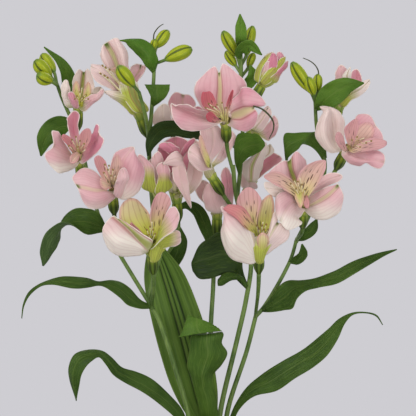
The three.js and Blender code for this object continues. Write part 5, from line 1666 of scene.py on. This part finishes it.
def stamens(shape, foot, rise, deep, ends):
    """Six threads with an anther each, and the style last, from the cup out over the inner tepals."""
    for k, (across, down) in enumerate(ends):
        end = at(across, down, deep)
        turn = 2 * math.pi * k / len(ends)
        start = foot + rise * 1.5 * MM + 0.8 * MM * np.array([math.cos(turn), math.sin(turn), 0])
        reach = np.linalg.norm(end - start)
        line = smooth([start, start + rise * 0.12 * reach + (end - start) * 0.4, end], count=24)
        tube(shape, line, FILAMENT_RADII, FILAMENT, sides=8)
        if k == len(ends) - 1:
            continue
        ahead = unit(line[-1] - line[-3])
        anther = [end + ahead * (step - 0.3) * ANTHER_LENGTH for step in np.linspace(0, 1, 9)]
        radii = [size * ANTHER_RADIUS for size in ANTHER_SWELLING]
        tube(shape, anther, radii, ANTHER, sides=10)


def strand(shape):
    """A thin dry thread that hangs in a bow from the right tepal of the topmost bloom."""
    spots = [(253,106,-42), (261,108.5,-42), (268,114,-41), (273,121,-39), (273.5,129,-37), (269,139,-36)]
    line = smooth([at(*spot) for spot in spots], step=0.8 * MM)
    tube(shape, line, HANGING_RADII, DRY_THREAD, sides=8)


def funnel(shape, foot, rise, length, radius):
    """The tube that the tepals' claws form, open above, with a wavy rim."""
    side = unit(np.cross(rise, AWAY))
    over = np.cross(rise, side)
    turns = circle(FUNNEL_SIDES)
    outward = np.cos(turns)[:, None] * side + np.sin(turns)[:, None] * over
    shares = np.concatenate([np.linspace(0, 1, 12), np.linspace(0.97, 0.3, 9)])
    wall = np.concatenate([np.zeros(12), np.full(9, FUNNEL_WALL)])
    inside = np.repeat((wall > 0).astype(float), FUNNEL_SIDES)
    reach = CUP_RADIUS + (radius - CUP_RADIUS) * shares ** 1.2 - wall
    ribbed = reach[:, None] * (1 + 0.05 * np.cos(6 * turns))[None, :]
    height = length * shares[:, None] * (1 + 0.16 * np.cos(3 * turns)[None, :] * shares[:, None] ** 2)
    points = foot + rise * height[..., None] + outward[None] * ribbed[..., None]
    faces = closed_faces(len(shares), FUNNEL_SIDES)
    ribs = np.tile(np.cos(6 * turns), len(shares))
    shape.add(points, faces, CUP, along=np.repeat(shares, FUNNEL_SIDES), across=ribs, under=inside)


def view_row(points):
    """How far down on the front view points lie."""
    square = VIEW_SQUARE * (1 + points[..., 1] / EYE_DISTANCE)
    return VIEW_MIDDLE - (points[..., 2] - EYE_HEIGHT) / square


def bloom_shape(name, bloom):
    draw = random.Random(name)
    foot, rise = FEET[name]
    flush, lime, blush, fade = bloom["tints"]
    foot_row = view_row(foot)
    shape = Shape()
    for kind, rows, own in bloom["tepals"]:
        sheet, along, across = laid_sheet(kind, foot, rise, rows, own, draw.uniform(0, 6))
        slot, tint = INNER_SILK, own.get("red", blush)
        if kind is OUTER:
            slot = OUTER_SILK
            top, bottom = own.get("white", (foot_row - FADE_REACH, foot_row + FADE_REACH))
            faded = step_up(view_row(sheet), top, bottom) * (1 if "white" in own else fade)
            tint = own.get("pink", flush) * (1 - faded)
        swelled(shape, sheet, TEPAL_THICKNESS, slot, along=along, across=across + own.get("lean", 0),
                flush=tint, lime=own.get("lime", lime), rim=rim_distance(sheet) + own.get("plain", 0),
                keel=own.get("keel", 0.15))
    length, radius = bloom["funnel"]
    funnel(shape, foot, rise, length * MM, radius * MM)
    if bloom["threads"]:
        stamens(shape, foot, rise, *bloom["threads"])
    return shape


def outer_silk():
    """An outer tepal: cream at its foot, flushed with pink outwards, finely veined, with a white rim,
    a lime claw, a keel between two red lines, partly its pink and partly painted shade along the folds,
    and a green point."""
    finish = Finish("outer tepal", roughness=0.5, specular=0.2, sheen=0.1, through=0.3)
    across, along, flush, lime = finish.fields("across", "along", "flush", "lime")
    under, border, keel = finish.fields("under", "rim", "keel")
    edge = finish.math("ABSOLUTE", across)
    clouds = finish.cloud(finish.places(), 75, detail=3)
    spread = finish.plus(finish.rise(along, 0.15, 0.6), clouds)
    pinker = finish.times(finish.math("SUBTRACT", spread, 0.45), flush, clamp=True)
    base = finish.mix(pinker, tone(244, 236, 224), tone(218, 142, 160))
    wander = finish.cloud(finish.vector(across, along), 3.0, detail=2)
    swing = finish.times(finish.plus(across, finish.times(wander, 0.25)), 46.0)
    veins = finish.rise(finish.math("SINE", swing), 0.2, 1.0)
    veined = finish.mix(finish.times(veins, 0.12), base, tone(180, 100, 116))
    reach = finish.plus(finish.times(lime, 0.26), 0.2)
    soft = finish.plus(finish.times(lime, 0.1), 0.14)
    claw = finish.math("DIVIDE", finish.math("SUBTRACT", reach, along), soft, clamp=True)
    greener = finish.times(claw, finish.plus(finish.times(lime, 0.5), 0.4))
    clawed = finish.mix(greener, veined, tone(188, 196, 84))
    broad = finish.math("SINE", finish.times(swing, 0.42))
    stripes = finish.times(finish.rise(broad, 0.8, 1.0), finish.math("POWER", claw, 0.5))
    striped = finish.mix(finish.times(stripes, 0.55), clawed, tone(118, 72, 44))
    width = finish.plus(finish.times(keel, 0.12), 0.04)
    beside = finish.math("DIVIDE", edge, width)
    outer_part = finish.rise(along, 0.2, 0.45)
    band = finish.times(finish.rise(beside, 1.35, 0.3), outer_part)
    strength = finish.times(keel, 0.8, clamp=True)
    band_colour = finish.mix(lime, tone(228, 208, 172), tone(176, 180, 100))
    keeled = finish.mix(finish.times(band, strength), striped, band_colour)
    # Two red lines beside the keel: partly the tepal's pink and partly painted shade along the folds either
    # side of the channel.
    lines = finish.times(finish.rise(beside, 0.85, 1.05), finish.rise(beside, 1.4, 1.1))
    pink_and_fold_shade = finish.times(finish.times(lines, outer_part), strength)
    pink_and_fold_shaded = finish.mix(finish.times(pink_and_fold_shade, 0.6), keeled, tone(176, 88, 90))
    point = finish.times(finish.rise(edge, 0.2, 0.05), finish.rise(along, 0.9, 0.98))
    tip = finish.times(point, finish.rise(keel, 0.0, 0.5))
    tipped = finish.mix(tip, pink_and_fold_shaded, tone(92, 112, 36))
    back = finish.mix(finish.times(under, 0.3), tipped, tone(222, 200, 190))
    white = finish.times(finish.rise(border, RIM_WIDTH, 0.2), 0.85)
    finish.bump(veins, distance=0.1 * MM, strength=0.4)
    return finish.coloured(finish.mix(white, back, tone(248, 240, 228)))


def inner_silk():
    """An inner tepal: yellow in the throat, pink at its rims, red at its tip, flecked with maroon."""
    finish = Finish("inner tepal", roughness=0.5, specular=0.25, sheen=0.1, through=0.25)
    across, along, flush, lime, border = finish.fields("across", "along", "flush", "lime", "rim")
    edge = finish.math("ABSOLUTE", across)
    throat = finish.mix(lime, tone(240, 226, 164), tone(196, 200, 72))
    upper = finish.mix(lime, tone(230, 190, 182), tone(226, 216, 160))
    later = finish.math("SUBTRACT", along, finish.times(lime, 0.22))
    body = finish.mix(finish.rise(later, 0.25, 0.75), throat, upper)
    pinker = finish.times(finish.rise(border, 2.6, 0.3), finish.rise(along, 0.5, 0.85))
    rimmed = finish.mix(finish.times(pinker, 0.55), body, tone(216, 148, 158))
    blush = finish.mix(finish.rise(flush, 0.4, 1.0), tone(214, 168, 168), tone(202, 84, 100))
    red = finish.times(finish.rise(along, 0.4, 0.9), finish.times(flush, 2.0, clamp=True))
    tipped = finish.mix(finish.times(red, 0.9), rimmed, blush)
    wander = finish.cloud(finish.vector(across, along), 2.4, detail=2)
    swing = finish.times(finish.plus(across, finish.times(wander, 0.2)), 17.0)
    veins = finish.rise(finish.math("SINE", swing), 0.6, 1.0)
    veined = finish.mix(finish.times(veins, 0.26), tipped, tone(150, 76, 62))
    spread = finish.vector(finish.times(across, 3.0), finish.times(along, 3.8), flush)
    dashes = finish.cells(spread, 1.5)
    near = finish.rise(dashes.outputs["Distance"], 0.3, 0.24)
    belt = finish.times(finish.rise(along, 0.36, 0.44), finish.rise(along, 0.86, 0.76))
    flecks = finish.times(finish.times(near, belt), finish.rise(edge, 0.95, 0.75))
    flecked = finish.mix(finish.times(flecks, 0.92), veined, tone(74, 18, 26))
    finish.bump(veins, distance=0.1 * MM, strength=0.4)
    return finish.coloured(flecked)


def thread_silk():
    finish = Finish("filament", roughness=0.45, specular=0.35, through=0.2)
    along = finish.field("along")
    return finish.coloured(finish.mix(finish.rise(along, 0.3, 0.9), tone(244, 238, 160), tone(252, 244, 210)))


def pollen():
    finish = Finish("anther", roughness=0.9, specular=0.1)
    grain = finish.cloud(finish.places(), 2400, detail=2)
    finish.bump(grain, distance=0.15 * MM)
    return finish.coloured(finish.mix(grain, tone(96, 70, 40), tone(176, 150, 84)))


def cup_skin():
    """The funnel is lime with greener ribs outside, and yellow inside."""
    finish = Finish("bloom funnel", roughness=0.45, specular=0.3, through=0.12)
    along, across, inside = finish.fields("along", "across", "under")
    base = finish.mix(finish.rise(along, 0.0, 0.9), tone(120, 146, 50), tone(190, 198, 86))
    mottled = finish.cloud(finish.places(), 500, detail=3)
    ribs = finish.times(finish.rise(across, 0.2, 1.0), 0.55)
    finish.bump(mottled, distance=0.12 * MM, strength=0.4)
    ribbed = finish.mix(ribs, base, tone(96, 124, 40))
    return finish.coloured(finish.mix(inside, ribbed, tone(206, 196, 104)))


tepal_materials = (outer_silk(), inner_silk(), thread_silk(), pollen(), cup_skin(), dried)
for bloom_name, bloom in BLOOMS.items():
    shape = bloom_shape(bloom_name, bloom)
    if bloom_name == "bloom_crown":
        strand(shape)
    piece = shape.piece(bloom_name + "_silk", *tepal_materials)
    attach(piece, "root")
    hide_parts(bloom_name)


# The bud that is opening. Its outer tepals are still wrapped round one another, lime below and
# pink above, and the tips begin to part.

OPENING_RADIUS = 7.4 * MM
OPENING_SWELLING = (0.34, 0.55, 0.76, 0.9, 0.98, 1.0, 0.97, 0.9, 0.8, 0.66, 0.5, 0.3)
OPENING = open_bloom(
    outer(((264,85,-3), (262,84,-4), (260.5,82,-3)),
          ((271,82,-4), (267,78,-6.5), (263.5,75,-5)),
          ((276,74.5,-4), (272.5,72.5,-6), (269,69,-5)),
          ((278.5,68,-3), (277,67,-4), (274,66,-4)),
          ((279,64.5,-2), (278.5,64,-2.5), (278,64,-3)), pink=0.0, lime=4.0, keel=1.2),
    outer(((259,84,-2), (257.5,82,-3), (256,81,-2)),
          ((262,70,-5), (258.5,69,-5), (256,70,-2)),
          ((267,61.5,-4), (264,60,-4), (261,60.5,-1)),
          ((272,55,-3), (270,54,-3), (267,54.5,-1)),
          ((274,52.2,-1), (273,51.8,-1), (272,52,-1)), pink=0.3, lime=3.2, keel=1.2),
    outer(((273,83,0), (271,82,-3), (269,80,-4)),
          ((282,73,0), (280,71.5,-3), (277,71,-4)),
          ((287.5,66.5,0), (285,65.5,-2), (282,65.5,-3)),
          ((288.6,61.5,1), (288,60.8,0), (286,60.8,-1)), pink=0.9, lime=1.6, keel=0.3),
    outer(((282,66.5,-3), (279,66,-4), (276,65,-3)),
          ((285,61.5,-2), (282.5,60.5,-3.5), (279,60,-2)),
          ((286,57.5,0), (285.5,56.6,-1), (284,56.8,0)), pink=0.2, lime=3.6, keel=1.2),
    outer(((268,81,-2), (263.5,80,-4), (259,80,-2)),
          ((271.5,70,-3.5), (266,68,-5), (261,70,-3.5)),
          ((272.5,63,-3), (268,61,-5), (264,64,-3)), pink=0.5, lime=2.0, keel=0.2),
    outer(((277,67,-4), (272,66,-5), (267,65,-4)),
          ((278,60,-3), (272,59,-5), (267,59,-3)),
          ((277,55,-1), (273,52.5,-3), (269.5,55,-1)), pink=1.0, lime=0.0, keel=0.0),
    outer(((280,64,1), (277,63,-1), (274,63,0)),
          ((284,58,2), (280,56.5,0), (276,58,1)),
          ((283.5,54.5,3), (280,51.5,1), (276,53,2)), pink=0.8, lime=0.0, keel=0.0),
    funnel=(3, 2.2), tints=(0.5, 1.0, 0.3, 0.0),
)


def opening_bud():
    """The bud's body, with the skin of its own in place of a cup's, and the tepals over it."""
    shape = bloom_shape("bud_opening", OPENING)
    axis = OPENING_TIP - OPENING_FOOT
    line = [OPENING_FOOT + axis * share for share in np.linspace(0, 0.92, 34)]
    radii = [OPENING_RADIUS * size for size in OPENING_SWELLING]
    tube(shape, line, radii, CUP, sides=54, ribs=3, ridge=0.09, groove=0.12)
    return shape


def opening_silk():
    finish = Finish("opening bud skin", roughness=0.42, specular=0.4, through=0.15)
    across, along = finish.fields("across", "along")
    streaks = finish.cloud(finish.vector(finish.times(across, 5.0), along), 3.0, detail=3)
    lime = finish.mix(finish.rise(streaks, 0.35, 0.7), tone(150, 164, 58), tone(196, 198, 96))
    pink = finish.mix(streaks, tone(226, 150, 160), tone(236, 200, 190))
    body = finish.mix(finish.rise(along, 0.5, 0.85), lime, pink)
    seam = finish.times(finish.rise(across, -0.8, -0.97), 0.6)
    finish.bump(streaks, distance=0.15 * MM, strength=0.5)
    return finish.coloured(finish.mix(seam, body, tone(116, 96, 50)))


bud_piece = opening_bud().piece("bud_opening_silk", *tepal_materials[:4], opening_silk())
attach(bud_piece, "root")
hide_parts("bud_opening")


# The studio. A plain pale floor under the pot, an even pale surround, one large soft light from the
# upper left, a weaker one from low in front and a third from behind. The camera looks level at the
# flowers.

FLOOR_RADIUS = 1.0
FLOOR_SIDES = 96
SURROUND = tone(206, 205, 210)
SENSOR = 36.0
PICTURE_SQUARES = 416


def studio_floor():
    shape = Shape()
    shape.add(ring(FLOOR_RADIUS, 0, FLOOR_SIDES), [list(range(FLOOR_SIDES))])
    finish = Finish("studio floor", roughness=0.8, specular=0.2)
    soft = finish.cloud(finish.places(), 3, detail=2)
    pale = finish.coloured(finish.mix(soft, tone(206, 205, 208), tone(214, 213, 216)))
    return shape.piece("studio_floor", pale)


def soft_light(name, spot, target, size, watts, colour=(1.0, 1.0, 1.0)):
    lamp = bpy.data.lights.new(name, "AREA")
    lamp.shape = "DISK"
    lamp.size = size
    lamp.energy = watts
    lamp.color = colour
    obj = bpy.data.objects.new(name, lamp)
    obj.location = spot
    obj.rotation_euler = (Vector(target) - Vector(spot)).to_track_quat("-Z", "Y").to_euler()
    bpy.context.scene.collection.objects.link(obj)


studio_floor()
soft_light("key", (-1.0, -1.3, 1.5), (0, 0, 0.28), size=0.9, watts=16.5, colour=(1.0, 0.98, 0.95))
soft_light("fill", (0.5, -1.5, 0.16), (0, 0, 0.28), size=0.8, watts=9.5, colour=(0.96, 0.98, 1.0))
soft_light("back", (0.5, 1.2, 1.2), (0, 0, 0.3), size=1.0, watts=6.5)

world = bpy.data.worlds.new("studio")
world.use_nodes = True
world.node_tree.nodes["Background"].inputs["Color"].default_value = SURROUND
bpy.context.scene.world = world
bpy.context.scene.view_settings.view_transform = "Standard"

camera = bpy.data.objects.new("camera", bpy.data.cameras.new("camera"))
camera.location = (0, -EYE_DISTANCE, EYE_HEIGHT)
camera.rotation_euler = (math.pi / 2, 0, 0)
camera.data.sensor_width = SENSOR
camera.data.lens = SENSOR * EYE_DISTANCE / (PICTURE_SQUARES * VIEW_SQUARE)
bpy.context.scene.collection.objects.link(camera)
bpy.context.scene.camera = camera
